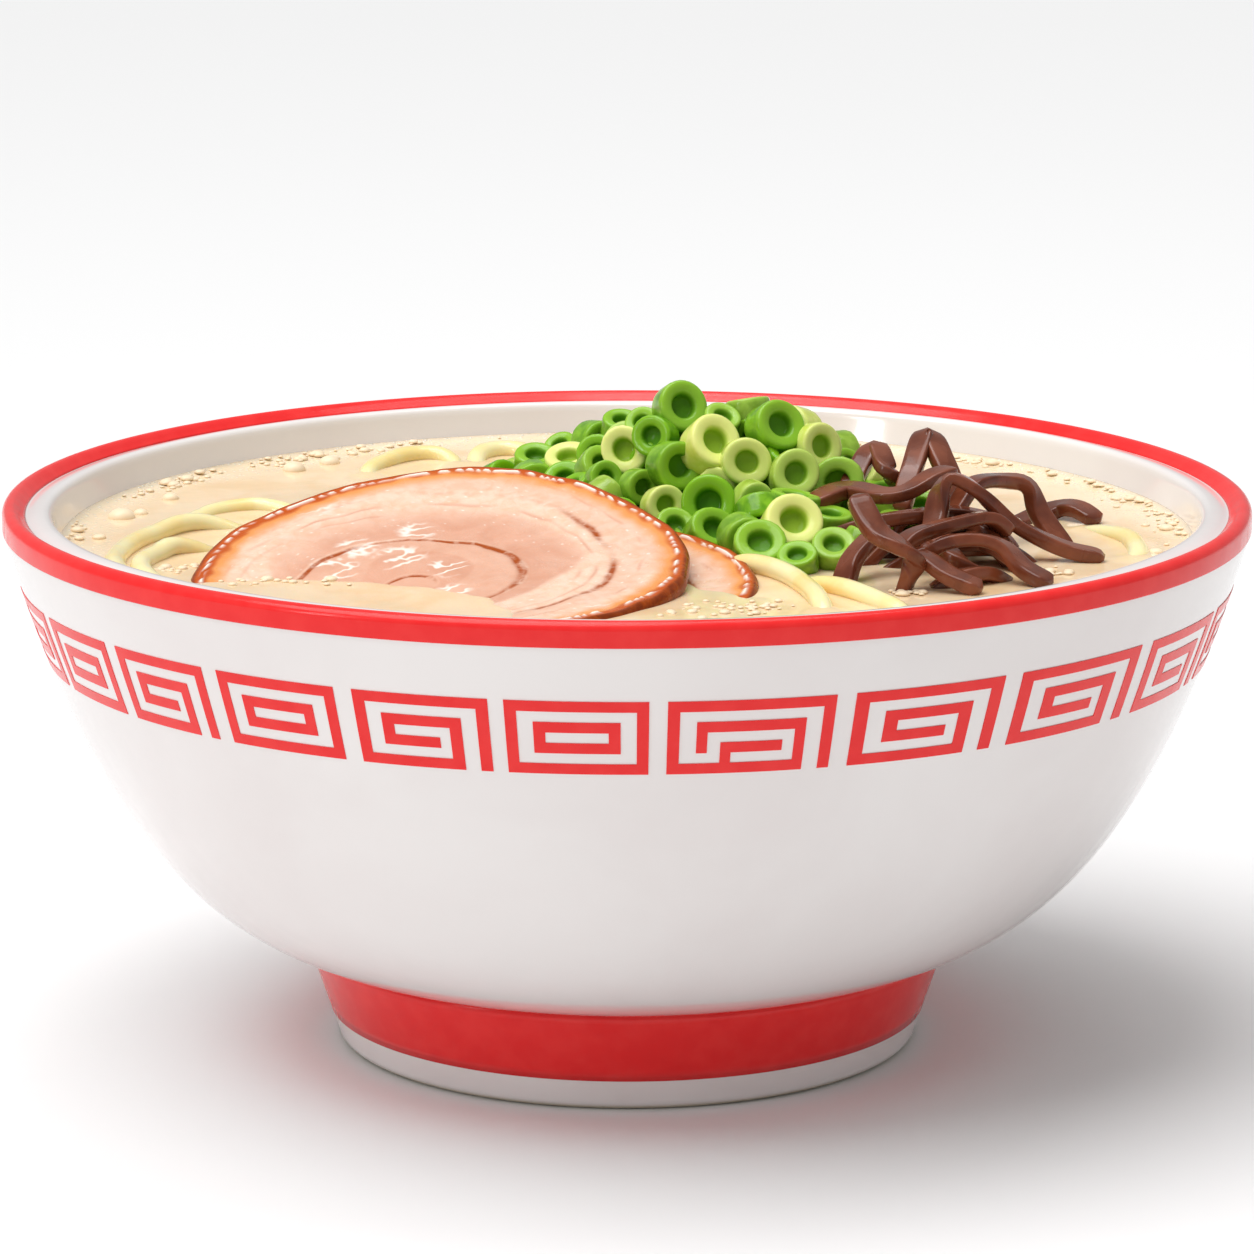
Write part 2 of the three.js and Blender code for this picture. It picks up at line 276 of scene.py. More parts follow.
def facing(axes: Array, rng: np.random.Generator) -> Array:
    """Rotations that take +Z to each of the given directions, with a chance spin about it."""
    z = unit(axes)
    away = np.where(np.abs(z[:, 2:]) < 0.9, [[0, 0, 1.0]], [[1.0, 0, 0]])
    x = unit(np.cross(away, z))
    y = np.cross(z, x)
    spin = rng.uniform(0, 2 * np.pi, len(z))[:, None]
    return np.stack([x * np.cos(spin) + y * np.sin(spin), y * np.cos(spin) - x * np.sin(spin), z], axis=-1)


def waves(points: Array, size: float, seed: int) -> Array:
    """Soft random unevenness: sine waves of random direction and of about the given length, added up.

    Args:
        points: Where it is wanted, one row each.
        size: The usual wavelength, in the points' own unit.
        seed: Which unevenness.

    Returns:
        One value for each point, mostly between -1 and 1.
    """
    count = 16
    rng = np.random.default_rng(seed)
    heading = unit(rng.normal(size=(count, points.shape[-1]))) * rng.uniform(0.6, 1.6, (count, 1))
    phase = rng.uniform(0, 2 * np.pi, count)
    return np.sin(points @ heading.T * (2 * np.pi / size) + phase).mean(axis=-1) * 2.4


def rise(value: Array, low: float, high: float) -> Array:
    """Goes smoothly from 0 at low to 1 at high: 3 t^2 - 2 t^3, with t the share of the way."""
    t = np.clip((value - low) / (high - low), 0, 1)
    return t * t * (3 - 2 * t)


# -------------------------------------------------------------------------------- finishes
def paint(red: int, green: int, blue: int) -> Colour:
    """A display colour, 0 to 255 each, as the linear colour that shaders take."""
    share = np.array([red, green, blue]) / 255
    linear = np.where(share <= 0.04045, share / 12.92, ((share + 0.055) / 1.055) ** 2.4)
    return (*(float(v) for v in linear), 1.0)


class Recipe:
    """Lays out the nodes of one material, which reads Object coordinates and the marks on its piece."""

    def __init__(self, name: str) -> None:
        """Starts an empty material with a Principled shader."""
        self.material = bpy.data.materials.new(name)
        self.material.use_nodes = True
        self.tree = self.material.node_tree
        self.tree.nodes.clear()
        self.shader = self.add("ShaderNodeBsdfPrincipled")
        output = self.add("ShaderNodeOutputMaterial")
        self.tree.links.new(self.shader.outputs["BSDF"], output.inputs["Surface"])
        self.place = self.add("ShaderNodeTexCoord").outputs["Object"]

    def add(self, kind: str, **settings: object) -> bpy.types.Node:
        """Adds a node and gives it its settings."""
        node = self.tree.nodes.new(kind)
        for name, value in settings.items():
            setattr(node, name, value)
        return node

    def feed(self, socket: Socket, value: Tint | float) -> None:
        """Links a socket to another node's output, or sets it to a plain value."""
        if isinstance(value, bpy.types.NodeSocket):
            self.tree.links.new(value, socket)
        else:
            socket.default_value = value

    def constants(self, **values: float | Sequence[float]) -> None:
        """Sets sockets of the shader, named with underscores for spaces."""
        for name, value in values.items():
            self.shader.inputs[name.replace("_", " ")].default_value = value

    def noise(self, size: float, detail: float = 3.0, warp: float = 0.0) -> Socket:
        """Cloudy noise, 0 to 1.

        Args:
            size: The width of its larger patches, in millimetres.
            detail: How many finer layers it has.
            warp: How far it is distorted.

        Returns:
            The value.
        """
        node = self.add("ShaderNodeTexNoise")
        self.feed(node.inputs["Vector"], self.place)
        node.inputs["Scale"].default_value = 1 / (size * MM)
        node.inputs["Detail"].default_value = detail
        node.inputs["Distortion"].default_value = warp
        return node.outputs["Fac"]

    def cells(self, size: float) -> Socket:
        """The distance to the nearest of scattered points, about a size in millimetres apart."""
        node = self.add("ShaderNodeTexVoronoi")
        self.feed(node.inputs["Vector"], self.place)
        node.inputs["Scale"].default_value = 1 / (size * MM)
        return node.outputs["Distance"]

    def mark(self, name: str) -> Socket:
        """A value carried by the piece's corners."""
        return self.add("ShaderNodeAttribute", attribute_name=name).outputs["Fac"]

    def height(self) -> Socket:
        """The height above the foot, in metres."""
        node = self.add("ShaderNodeSeparateXYZ")
        self.feed(node.inputs["Vector"], self.place)
        return node.outputs["Z"]

    def spread(self, value: Socket, low: float, high: float, start: float = 0.0, end: float = 1.0) -> Socket:
        """Takes low to high, smoothly and within bounds, to start to end."""
        node = self.add("ShaderNodeMapRange", interpolation_type="SMOOTHSTEP")
        for name, number in zip(("From Min", "From Max", "To Min", "To Max"), (low, high, start, end)):
            node.inputs[name].default_value = number
        self.feed(node.inputs["Value"], value)
        return node.outputs["Result"]

    def sums(self, work: str, first: Socket | float, second: Socket | float) -> Socket:
        """One step of arithmetic, such as ADD or MULTIPLY."""
        node = self.add("ShaderNodeMath", operation=work)
        self.feed(node.inputs[0], first)
        self.feed(node.inputs[1], second)
        return node.outputs["Value"]

    def blend(self, share: Socket | float, first: Tint, second: Tint) -> Socket:
        """A colour between two others."""
        node = self.add("ShaderNodeMix", data_type="RGBA")
        self.feed(node.inputs["Factor"], share)
        self.feed(node.inputs[6], first)
        self.feed(node.inputs[7], second)
        return node.outputs[2]

    def shaded(self, value: Socket, low: float, high: float, first: Tint, second: Tint) -> Socket:
        """The first colour, going over to the second as a value rises from low to high."""
        return self.blend(self.spread(value, low, high), first, second)

    def colour(self, value: Socket) -> None:
        """Sets what colours the surface."""
        self.feed(self.shader.inputs["Base Color"], value)

    def rough(self, value: Socket) -> None:
        """Sets what roughens the surface."""
        self.feed(self.shader.inputs["Roughness"], value)

    def relief(self, height: Socket, depth: float, strength: float = 1.0) -> None:
        """Adds fine relief, with the given depth in millimetres."""
        node = self.add("ShaderNodeBump")
        node.inputs["Strength"].default_value = strength
        node.inputs["Distance"].default_value = depth * MM
        self.feed(node.inputs["Height"], height)
        self.feed(self.shader.inputs["Normal"], node.outputs["Normal"])


@dataclass(frozen=True)
class Glaze:
    """Thick white glaze, a little uneven, and bare matt clay where the foot stands."""

    lit: Colour = paint(244, 239, 237)
    deep: Colour = paint(238, 231, 229)
    bare: Colour = paint(205, 192, 172)

    def material(self) -> bpy.types.Material:
        """The glaze as a material."""
        recipe = Recipe("white_glaze")
        body = recipe.shaded(recipe.noise(46, 3, 0.4), 0.35, 0.75, self.lit, self.deep)
        standing = recipe.spread(recipe.height(), 0.0004, 0.0012, 1.0, 0.0)
        recipe.colour(recipe.blend(standing, body, self.bare))
        recipe.rough(recipe.spread(standing, 0.0, 1.0, 0.13, 0.7))
        recipe.constants(IOR=1.5, Coat_Weight=0.35, Coat_Roughness=0.04)
        recipe.relief(recipe.noise(7, 2), 0.12, 0.35)
        return recipe.material


@dataclass(frozen=True)
class Enamel:
    """Glossy red enamel over the glaze, thicker in places."""

    thick: Colour = paint(243, 40, 41)
    thin: Colour = paint(247, 50, 49)

    def material(self) -> bpy.types.Material:
        """The enamel as a material."""
        recipe = Recipe("red_enamel")
        recipe.colour(recipe.shaded(recipe.noise(5, 4), 0.35, 0.7, self.thick, self.thin))
        recipe.rough(recipe.spread(recipe.noise(3, 3), 0.3, 0.7, 0.16, 0.26))
        recipe.constants(IOR=1.34, Coat_Weight=0.08, Coat_Roughness=0.05)
        recipe.relief(recipe.noise(6, 2), 0.05, 0.3)
        return recipe.material


@dataclass(frozen=True)
class BrothFinish:
    """Creamy, opaque pork broth, darker in patches, with pale froth at the edge and gold by the noodles."""

    cream: Colour = paint(246, 219, 181)
    clear: Colour = paint(240, 206, 160)
    froth: Colour = paint(254, 240, 216)
    golden: Colour = paint(244, 210, 142)

    def material(self) -> bpy.types.Material:
        """The broth as a material."""
        recipe = Recipe("creamy_broth")
        body = recipe.shaded(recipe.noise(16, 5, 0.8), 0.42, 0.72, self.cream, self.clear)
        speckle = recipe.spread(recipe.cells(1.1), 0.12, 0.34, 1.0, 0.0)
        frothy = recipe.sums("MULTIPLY", recipe.mark("froth"), recipe.sums("ADD", speckle, 0.35))
        body = recipe.blend(recipe.mark("near"), body, self.golden)
        recipe.colour(recipe.blend(frothy, body, self.froth))
        recipe.rough(recipe.spread(recipe.noise(4, 3), 0.3, 0.7, 0.07, 0.16))
        recipe.constants(IOR=1.36)
        recipe.constants(Subsurface_Weight=0.25, Subsurface_Scale=0.004, Subsurface_Radius=(1.0, 0.7, 0.45))
        dimples = recipe.sums("MULTIPLY", recipe.mark("froth"), speckle)
        swell = recipe.sums("MULTIPLY", recipe.noise(9, 2), 0.6)
        recipe.relief(recipe.sums("ADD", dimples, swell), 0.35, 0.5)
        return recipe.material


@dataclass(frozen=True)
class BubbleFinish:
    """A wet film of broth over air."""

    film: Colour = paint(249, 224, 188)
    pale: Colour = paint(253, 235, 206)

    def material(self) -> bpy.types.Material:
        """The bubbles as a material."""
        recipe = Recipe("bubble_film")
        recipe.colour(recipe.blend(recipe.noise(2, 2), self.film, self.pale))
        recipe.constants(Roughness=0.3, IOR=1.36)
        recipe.relief(recipe.noise(0.8, 1), 0.02, 0.3)
        return recipe.material


@dataclass(frozen=True)
class NoodleFinish:
    """Wet wheat noodle, pale yellow and deeper in patches."""

    pale: Colour = paint(255, 240, 184)
    deep: Colour = paint(255, 225, 150)

    def material(self) -> bpy.types.Material:
        """The noodles as a material."""
        recipe = Recipe("wheat_noodle")
        patches = recipe.noise(9, 3, 0.3)
        recipe.colour(recipe.shaded(patches, 0.35, 0.7, self.pale, self.deep))
        recipe.rough(recipe.spread(patches, 0.3, 0.7, 0.14, 0.26))
        recipe.constants(IOR=1.36, Coat_Weight=0.4, Coat_Roughness=0.06)
        recipe.constants(Subsurface_Weight=0.3, Subsurface_Scale=0.0025, Subsurface_Radius=(1.0, 0.75, 0.35))
        recipe.relief(recipe.noise(5, 2), 0.06, 0.3)
        return recipe.material


@dataclass(frozen=True)
class PorkFinish:
    """Rolled pork belly by its marks: lean, seam, roast, rind, and fat veins and beads, also painted
    highlights.
    """

    fat: Colour = paint(246, 213, 190)
    fat_deep: Colour = paint(240, 194, 164)
    lean: Colour = paint(228, 176, 150)
    lean_deep: Colour = paint(214, 156, 128)
    seam: Colour = paint(168, 74, 4)
    rind: Colour = paint(126, 48, 2)
    rind_light: Colour = paint(164, 72, 8)
    golden: Colour = paint(236, 156, 88)
    roast: Colour = paint(196, 84, 8)
    # Cream: pale fat, and also painted highlight, in the veins, flecks and beads of the slice.
    cream: Colour = paint(255, 246, 234)

    def material(self) -> bpy.types.Material:
        """The pork as a material."""
        recipe = Recipe("rolled_pork")
        fine = recipe.noise(2.4, 5, 0.6)
        broad = recipe.noise(9, 4, 0.8)
        fat = recipe.shaded(fine, 0.3, 0.75, self.fat, self.fat_deep)
        lean = recipe.shaded(broad, 0.3, 0.7, self.lean, self.lean_deep)
        body = recipe.blend(recipe.mark("lean"), fat, lean)
        # Pale fat and painted highlight: cream veins and flecks over the meat.
        body = recipe.blend(recipe.mark("marble_and_sheen"), body, self.cream)
        seam = recipe.sums("MULTIPLY", recipe.mark("seam"), recipe.spread(fine, 0.25, 0.6, 0.35, 1.0))
        body = recipe.blend(seam, body, self.seam)
        body = recipe.shaded(recipe.mark("roast"), 0.0, 0.5, body, self.golden)
        body = recipe.shaded(recipe.mark("roast"), 0.5, 1.0, body, self.roast)
        rind = recipe.shaded(fine, 0.35, 0.7, self.rind, self.rind_light)
        body = recipe.blend(recipe.mark("rind"), body, rind)
        # The beads along the edge: raised fat and painted highlight at once.
        recipe.colour(recipe.blend(recipe.mark("fat_and_sheen_dots"), body, self.cream))
        recipe.rough(recipe.spread(broad, 0.3, 0.7, 0.2, 0.42))
        recipe.constants(IOR=1.26, Coat_Weight=0.05, Coat_Roughness=0.05)
        recipe.constants(Subsurface_Weight=0.08, Subsurface_Scale=0.002, Subsurface_Radius=(1.0, 0.6, 0.4))
        grain = recipe.sums("MULTIPLY", recipe.noise(0.9, 3), 0.5)
        recipe.relief(recipe.sums("ADD", fine, grain), 0.25, 0.5)
        return recipe.material


@dataclass(frozen=True)
class OnionFinish:
    """Fresh spring onion, green leaf to pale stem by the mark "tone", cut ends paler, painted shade in the
    hollows.
    """

    leaf: Colour = paint(66, 138, 0)
    leaf_light: Colour = paint(126, 188, 4)
    stem: Colour = paint(222, 232, 96)
    stem_light: Colour = paint(244, 246, 150)
    # The hollow colours are painted shade: leaf and stem darkened inside the rings' holes.
    hollow: Colour = paint(72, 138, 0)
    stem_painted_shade: Colour = paint(158, 192, 50)

    def material(self) -> bpy.types.Material:
        """The onion as a material."""
        recipe = Recipe("spring_onion")
        fine = recipe.noise(2.5, 4, 0.3)
        outside = recipe.blend(recipe.mark("tone"), self.leaf, self.stem)
        lighter = recipe.blend(recipe.mark("tone"), self.leaf_light, self.stem_light)
        body = recipe.shaded(fine, 0.3, 0.75, outside, lighter)
        body = recipe.blend(recipe.mark("cut"), body, lighter)
        # Painted shade: the hollow colour darkens the inside of each ring's hole, which is also matt.
        hollow = recipe.blend(recipe.mark("tone"), self.hollow, self.stem_painted_shade)
        recipe.colour(recipe.blend(recipe.mark("hollow"), body, hollow))
        matte = recipe.sums("MULTIPLY", recipe.mark("hollow"), 0.6)
        recipe.rough(recipe.sums("ADD", recipe.spread(fine, 0.3, 0.7, 0.12, 0.24), matte))
        recipe.constants(IOR=1.3, Coat_Weight=0.18, Coat_Roughness=0.05)
        recipe.constants(Subsurface_Weight=0.06, Subsurface_Scale=0.002, Subsurface_Radius=(0.5, 1.0, 0.3))
        recipe.relief(recipe.noise(0.9, 3), 0.1, 0.4)
        return recipe.material


@dataclass(frozen=True)
class MushroomFinish:
    """Wet wood ear mushroom, dark brown and warmer in patches."""

    dark: Colour = paint(98, 47, 29)
    warm: Colour = paint(132, 71, 46)

    def material(self) -> bpy.types.Material:
        """The mushroom as a material."""
        recipe = Recipe("wood_ear")
        fine = recipe.noise(7, 3, 0.4)
        recipe.colour(recipe.shaded(fine, 0.35, 0.7, self.dark, self.warm))
        recipe.rough(recipe.spread(fine, 0.3, 0.7, 0.16, 0.34))
        recipe.constants(IOR=1.34, Coat_Weight=0.35, Coat_Roughness=0.06)
        recipe.relief(recipe.noise(2.5, 3, 0.4), 0.12, 0.4)
        return recipe.material


@dataclass(frozen=True)
class FloorFinish:
    """A plain pale table."""

    light: Colour = (0.86, 0.86, 0.86, 1.0)
    dim: Colour = (0.85, 0.85, 0.85, 1.0)

    def material(self) -> bpy.types.Material:
        """The floor as a material."""
        recipe = Recipe("pale_floor")
        recipe.colour(recipe.blend(recipe.noise(900, 1), self.light, self.dim))
        recipe.constants(Roughness=0.8, Specular_IOR_Level=0.15)
        return recipe.material


# -------------------------------------------------------------------------------- bowl
class Motif(Enum):
    """The key pattern's figures: where the columns of cells end, in strokes, and the rows, top first."""

    BOX = (
        (0, 1, 2.35, 3.35, 8.65, 9.65, 11, 12),
        ("#######", "#.....#", "#.###.#", "#.#.#.#", "#.###.#", "#.....#", "#######"),
    )
    SPIRAL = (
        (0, 1, 2.3, 3.3, 7.1, 8, 9, 10.3, 11.3),
        ("########", "#......#", "#.####.#", "#.#..#.#", "#.##.#.#", "#....#.#", "######.#"),
    )
    SPLIT = (
        (0, 1, 2.4, 3.3, 4.4, 5.3, 9.6, 10.6, 11.5, 12.9, 13.9),
        ("##########", "#........#", "#.######.#", "#.#....#.#", "#.#.##.#.#", "#...#..#.#", "########.#"),
    )


@dataclass(frozen=True)
class Figure:
    """One figure of the key pattern, between two bearings in degrees."""

    motif: Motif
    start: float
    end: float


@dataclass
class Bowl:
    """The footed bowl with its red rim, foot and key pattern, in millimetres and degrees.

    The groove inside the lip and the throat under it are each a radius and a height, the stand two radii.
    The enamel stands out from the wall by its thickness and is bedded in it by bedding times as much.
    """

    height: float = 93.6
    rim_radius: float = 105.0
    wall_top: float = 89.9
    root: float = 14.5
    power: float = 0.205
    lip_radius: float = 1.4
    groove: Pair = (101.3, 92.0)
    throat: Pair = (96.6, 91.0)
    floor: float = 21.0
    inner_power: float = 0.2
    foot_top: float = 17.7
    foot_radius: float = 49.8
    foot_edge: float = 2.2
    stand: Pair = (44.2, 47.6)
    recess: float = 12.6
    segments: int = 256
    rim_red: float = 89.7
    foot_red: float = 5.5
    enamel: float = 0.12
    bedding: float = 3.0
    pattern_low: float = 68.5
    pattern_high: float = 80.8
    gap: float = 1.8
    front_figures: tuple[Figure, ...] = (
        Figure(Motif.BOX, -66.6, -54.4),
        Figure(Motif.SPIRAL, -52.6, -40.5),
        Figure(Motif.BOX, -38.7, -26.2),
        Figure(Motif.SPIRAL, -24.4, -12.0),
        Figure(Motif.BOX, -10.6, 1.9),
        Figure(Motif.SPLIT, 3.5, 18.3),
        Figure(Motif.SPIRAL, 20.1, 35.0),
        Figure(Motif.SPIRAL, 37.0, 53.1),
        Figure(Motif.SPIRAL, 55.1, 69.5),
    )
    back_figures: int = 15
    steps_per_stroke: float = 1.2
    steps_per_row: int = 2

    def outer(self, z: Array) -> Array:
        """The outer wall's radius: the rim's, times the share of the height above the root to a power."""
        return self.rim_radius * ((z - self.root) / (self.wall_top - self.root)) ** self.power

    def inner(self, z: Array) -> Array:
        """The inner wall's radius, by a like curve from the floor up to the throat."""
        radius, top = self.throat
        return radius * np.maximum((z - self.floor) / (top - self.floor), 0) ** self.inner_power

    def inner_radius(self, z: float) -> float:
        """The inner wall's radius at one height."""
        return float(self.inner(np.array(z)))

    def foot_profile(self) -> Array:
        """The recess, the ring that stands on the table, and the foot's straight side."""
        turn = np.linspace(0, np.pi / 2, 8)
        rounded = self.foot_edge * np.stack([np.sin(turn) - 1, 1 - np.cos(turn)], axis=-1)
        inside, outside = self.stand
        return np.vstack(
            [
                [[0, self.recess], [20, self.recess], [inside - 3, self.recess]],
                [[inside - 0.8, self.recess - 1], [inside + 0.2, self.recess - 3], [inside, 0.6]],
                [[inside + 0.5, 0], [(inside + outside) / 2, 0]],
                rounded + [self.foot_radius, 0],
            ]
        )

    def wall_profile(self) -> Array:
        """The outer wall from the foot to the rim."""
        z = self.foot_top + (self.wall_top - self.foot_top) * np.linspace(0, 1, 80) ** 1.7
        return np.stack([self.outer(z), z], axis=-1)

    def lip_profile(self) -> Array:
        """The rounded lip, from the top of the wall over to its inner side."""
        turn = np.radians(np.linspace(0, 110, 16))
        rounded = self.lip_radius * np.stack([np.cos(turn) - 1, np.sin(turn) - 1], axis=-1)
        over = rounded + [self.rim_radius, self.height]
        return np.vstack([over, [[102.3, 92.9], [101.7, 92.25], self.groove]])

    def inside_profile(self) -> Array:
        """The white ledge inside the lip and the inner wall down to the middle of the floor."""
        top = self.throat[1]
        z = top - (top - self.floor) * (1 - (1 - np.linspace(0, 1, 60)) ** 1.9)
        wall = np.stack([self.inner(z), z], axis=-1)
        wall[-1, 0] = 0
        outside = [[100.8, 92.05], [100.2, 92.3], [99.4, 92.5], [98.4, 92.65]]
        inside = [[97.6, 92.62], [97.1, 92.3], [96.8, 91.8]]
        return np.vstack([outside, inside, wall])

    def band(self, profile: Array) -> Shape:
        """Enamel over part of the wall: the profile moved outwards, and back under the wall's surface."""
        along = np.gradient(profile, axis=0)
        out = unit(np.stack([along[:, 1], -along[:, 0]], axis=-1))
        over = profile + out * self.enamel
        under = profile - out * self.enamel * self.bedding
        return lathe(np.vstack([over, under[::-1]]), self.segments, closed=True)

    def rim_band(self) -> Shape:
        """The red band from a little below the rim over the lip."""
        z = np.linspace(self.rim_red, self.wall_top, 3)
        low = np.stack([self.outer(z), z], axis=-1)
        return self.band(np.vstack([low, self.lip_profile()]))

    def foot_band(self) -> Shape:
        """The red band round the foot, up to where the body starts."""
        share = np.linspace(0, 1, 10)[:, None]
        bottom = np.array([self.foot_radius, self.foot_edge])
        top = np.array([float(self.outer(np.array(self.foot_top))), self.foot_top])
        side = bottom + (top - bottom) * share
        start = (self.foot_red - self.foot_edge) / (self.foot_top - self.foot_edge)
        low = bottom + (top - bottom) * start
        return self.band(np.vstack([low, side[side[:, 1] > self.foot_red + 0.5]]))

    def figures(self) -> list[Figure]:
        """The front's figures and, evenly spaced behind, boxes and spirals by turns."""
        first, last = self.front_figures[0].start, self.front_figures[-1].end
        pitch = (360 - (last - first) - self.gap) / self.back_figures
        starts = last + self.gap + pitch * np.arange(self.back_figures)
        kinds = (Motif.BOX, Motif.SPIRAL)
        behind = [Figure(kinds[i % 2], s, s + pitch - self.gap) for i, s in enumerate(starts)]
        return [*self.front_figures, *behind]

    def plate(self, figure: Figure) -> Shape:
        """One raised figure.

        Its cells lie on a grid of bearing by height. Each filled cell has a face over the wall and one under
        it, and each side between a filled and an empty cell a wall, so that the figure is closed.

        Args:
            figure: Which motif, and where.

        Returns:
            The closed plate.
        """
        ends, rows = figure.motif.value
        cells = np.array([[c == "#" for c in row] for row in rows])[::-1]
        ends = np.array(ends, float)
        steps = np.maximum(np.round(np.diff(ends) * self.steps_per_stroke).astype(int), 1)
        columns = np.repeat(np.arange(len(steps)), steps)
        spans = [np.linspace(a, b, n, endpoint=False) for a, b, n in zip(ends[:-1], ends[1:], steps)]
        fine = np.concatenate([*spans, ends[-1:]])
        cells = np.repeat(cells[:, columns], self.steps_per_row, axis=0)
        bearing = np.radians(figure.start + (figure.end - figure.start) * fine / ends[-1])
        z = np.linspace(self.pattern_low, self.pattern_high, len(cells) + 1)
        grid_z, grid_b = np.meshgrid(z, bearing, indexing="ij")
        lifts = (self.enamel, -self.bedding * self.enamel)
        layers = [around(self.outer(grid_z) + lift, grid_b, grid_z).reshape(-1, 3) for lift in lifts]
        index = np.arange(grid_z.size).reshape(grid_z.shape)
        below = grid_z.size
        corners = np.stack([index[:-1, :-1], index[:-1, 1:], index[1:, 1:], index[1:, :-1]], axis=-1)[cells]
        padded = np.pad(cells, 1)
        upright = np.stack([index[:-1], index[1:]], axis=-1)[padded[1:-1, 1:] != padded[1:-1, :-1]]
        level = np.stack([index[:, :-1], index[:, 1:]], axis=-1)[padded[1:, 1:-1] != padded[:-1, 1:-1]]
        sides = np.vstack([upright, level])
        walls = np.stack([sides[:, 0], sides[:, 1], sides[:, 1] + below, sides[:, 0] + below], axis=-1)
        faces = np.vstack([corners, corners[:, ::-1] + below, walls])
        used, faces = np.unique(faces, return_inverse=True)
        return Shape(np.vstack(layers)[used], [faces.reshape(-1, 4)])

    def build(self) -> list[bpy.types.Object]:
        """Makes the white body, the two bands and the key pattern."""
        glaze, red = Glaze().material(), Enamel().material()
        profile = [self.foot_profile(), self.wall_profile(), self.lip_profile(), self.inside_profile()]
        body = lathe(np.vstack(profile), self.segments).piece("bowl_body", glaze)
        rim = self.rim_band().piece("bowl_rim_band", red)
        foot = self.foot_band().piece("bowl_foot_band", red)
        plates = joined([self.plate(figure) for figure in self.figures()])
        pattern = plates.piece("bowl_key_pattern", red, smooth=False)
        made = [body, rim, foot, pattern]
        for piece in made:
            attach(piece, "root")
        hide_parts("bowl")
        return made


# -------------------------------------------------------------------------------- noodles
@dataclass
class Noodles:
    """Noodles that lie along the surface, over a bundle under it. Heights are over the broth."""

    diameter: float = 3.4
    sides: int = 16
    step: float = 0.8
    strands: tuple[tuple[Point, ...], ...] = (
        (
            (-62, -56, -9), (-75, -52, -1), (-83, -35, 0.9), (-84, -21, 1.1),
            (-80, -6, 1.2), (-71, 5, 0.8), (-50, 4, -8),
        ),
        (
            (-60, -48, -9), (-74, -44, -1), (-79.5, -32, 0.8),
            (-78, -23, 1.1), (-73, -16, 0.8), (-56, -11, -8),
        ),
        (
            (-62, 2, -9), (-74, 9, -1.2), (-73, 16, 0.1), (-68, 21, 0.5),
            (-62, 22, 0.4), (-54, 17, -1.6), (-44, 8, -8),
        ),
        (
            (-40, 44, -9), (-46.5, 56, -1), (-43, 65, 0.9), (-38, 70, 1.1),
            (-33, 69.5, 0.6), (-30.5, 64, -2.2), (-30, 52, -9),
        ),
        (
            (-26, 54, -9), (-27, 64, -2.2), (-27, 71, 0.7), (-23, 75, 1.1),
            (-18, 73, 0.7), (-13, 63, -2), (-12, 48, -9),
        ),
        (
            (8, -22, -10), (14, -28, -2), (19, -32, 1.4), (24, -37, 1.7),
            (28, -46, 1.3), (31, -60, 0), (32, -70, -9),
        ),
        (
            (20, -31, -10), (25, -38, -3.2), (29, -44, 0), (34, -50, 1.4),
            (40, -59, 1), (44, -65, -1), (46, -73, -9),
        ),
        ((60, 12, -9), (76, 6, -1.8), (82, -2, 0.5), (85, -11, 0.6), (83, -21, -1.8), (68, -26, -11)),
    )
    core_radius: float = 72.0
    core_height: Pair = (36.0, 78.0)

    def paths(self) -> list[Array]:
        """The strands' middle lines."""
        return [smooth_path(controls, self.step) + [0, 0, BROTH_LEVEL] for controls in self.strands]

    def strand(self, path: Array, number: int) -> Shape:
        """One noodle: an oval section, a little thicker in places, drawn in at its ends."""
        turn = np.linspace(0, 2 * np.pi, self.sides, endpoint=False)
        section = np.stack([np.cos(turn), np.sin(turn)], axis=-1) * self.diameter / 2
        share = np.linspace(0, 1, len(path))
        taper = np.sqrt(np.clip(1 - (2 * share - 1) ** 24, 0.05, 1))
        swell = 1.03 + 0.05 * np.sin(share * 9 + number)
        sizes = np.stack([1.05 * taper * swell, 0.97 * taper * swell], axis=-1)
        return swept(path, section, sizes)

    def core(self) -> Shape:
        """The bundle below: a flattened ball with full sides and soft swells."""
        low, high = self.core_height
        angle = np.linspace(-np.pi / 2, np.pi / 2, 24)
        width = drawn_in(np.abs(np.cos(angle)) ** 0.35)
        z = (low + high) / 2 + (high - low) / 2 * np.sin(angle)
        profile = np.stack([self.core_radius * width, z], axis=-1)
        shape = lathe(profile, 72)
        bumps = waves(shape.points, 12, 5)[:, None]
        shape.points[:, :2] *= 1 + 0.02 * bumps
        return shape

    def build(self) -> list[bpy.types.Object]:
        """Makes the noodles as one piece."""
        parts = [self.strand(path, i) for i, path in enumerate(self.paths())]
        made = joined([self.core(), *parts]).piece("noodles_strands", NoodleFinish().material())
        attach(made, "root")
        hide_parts("noodles")
        return [made]


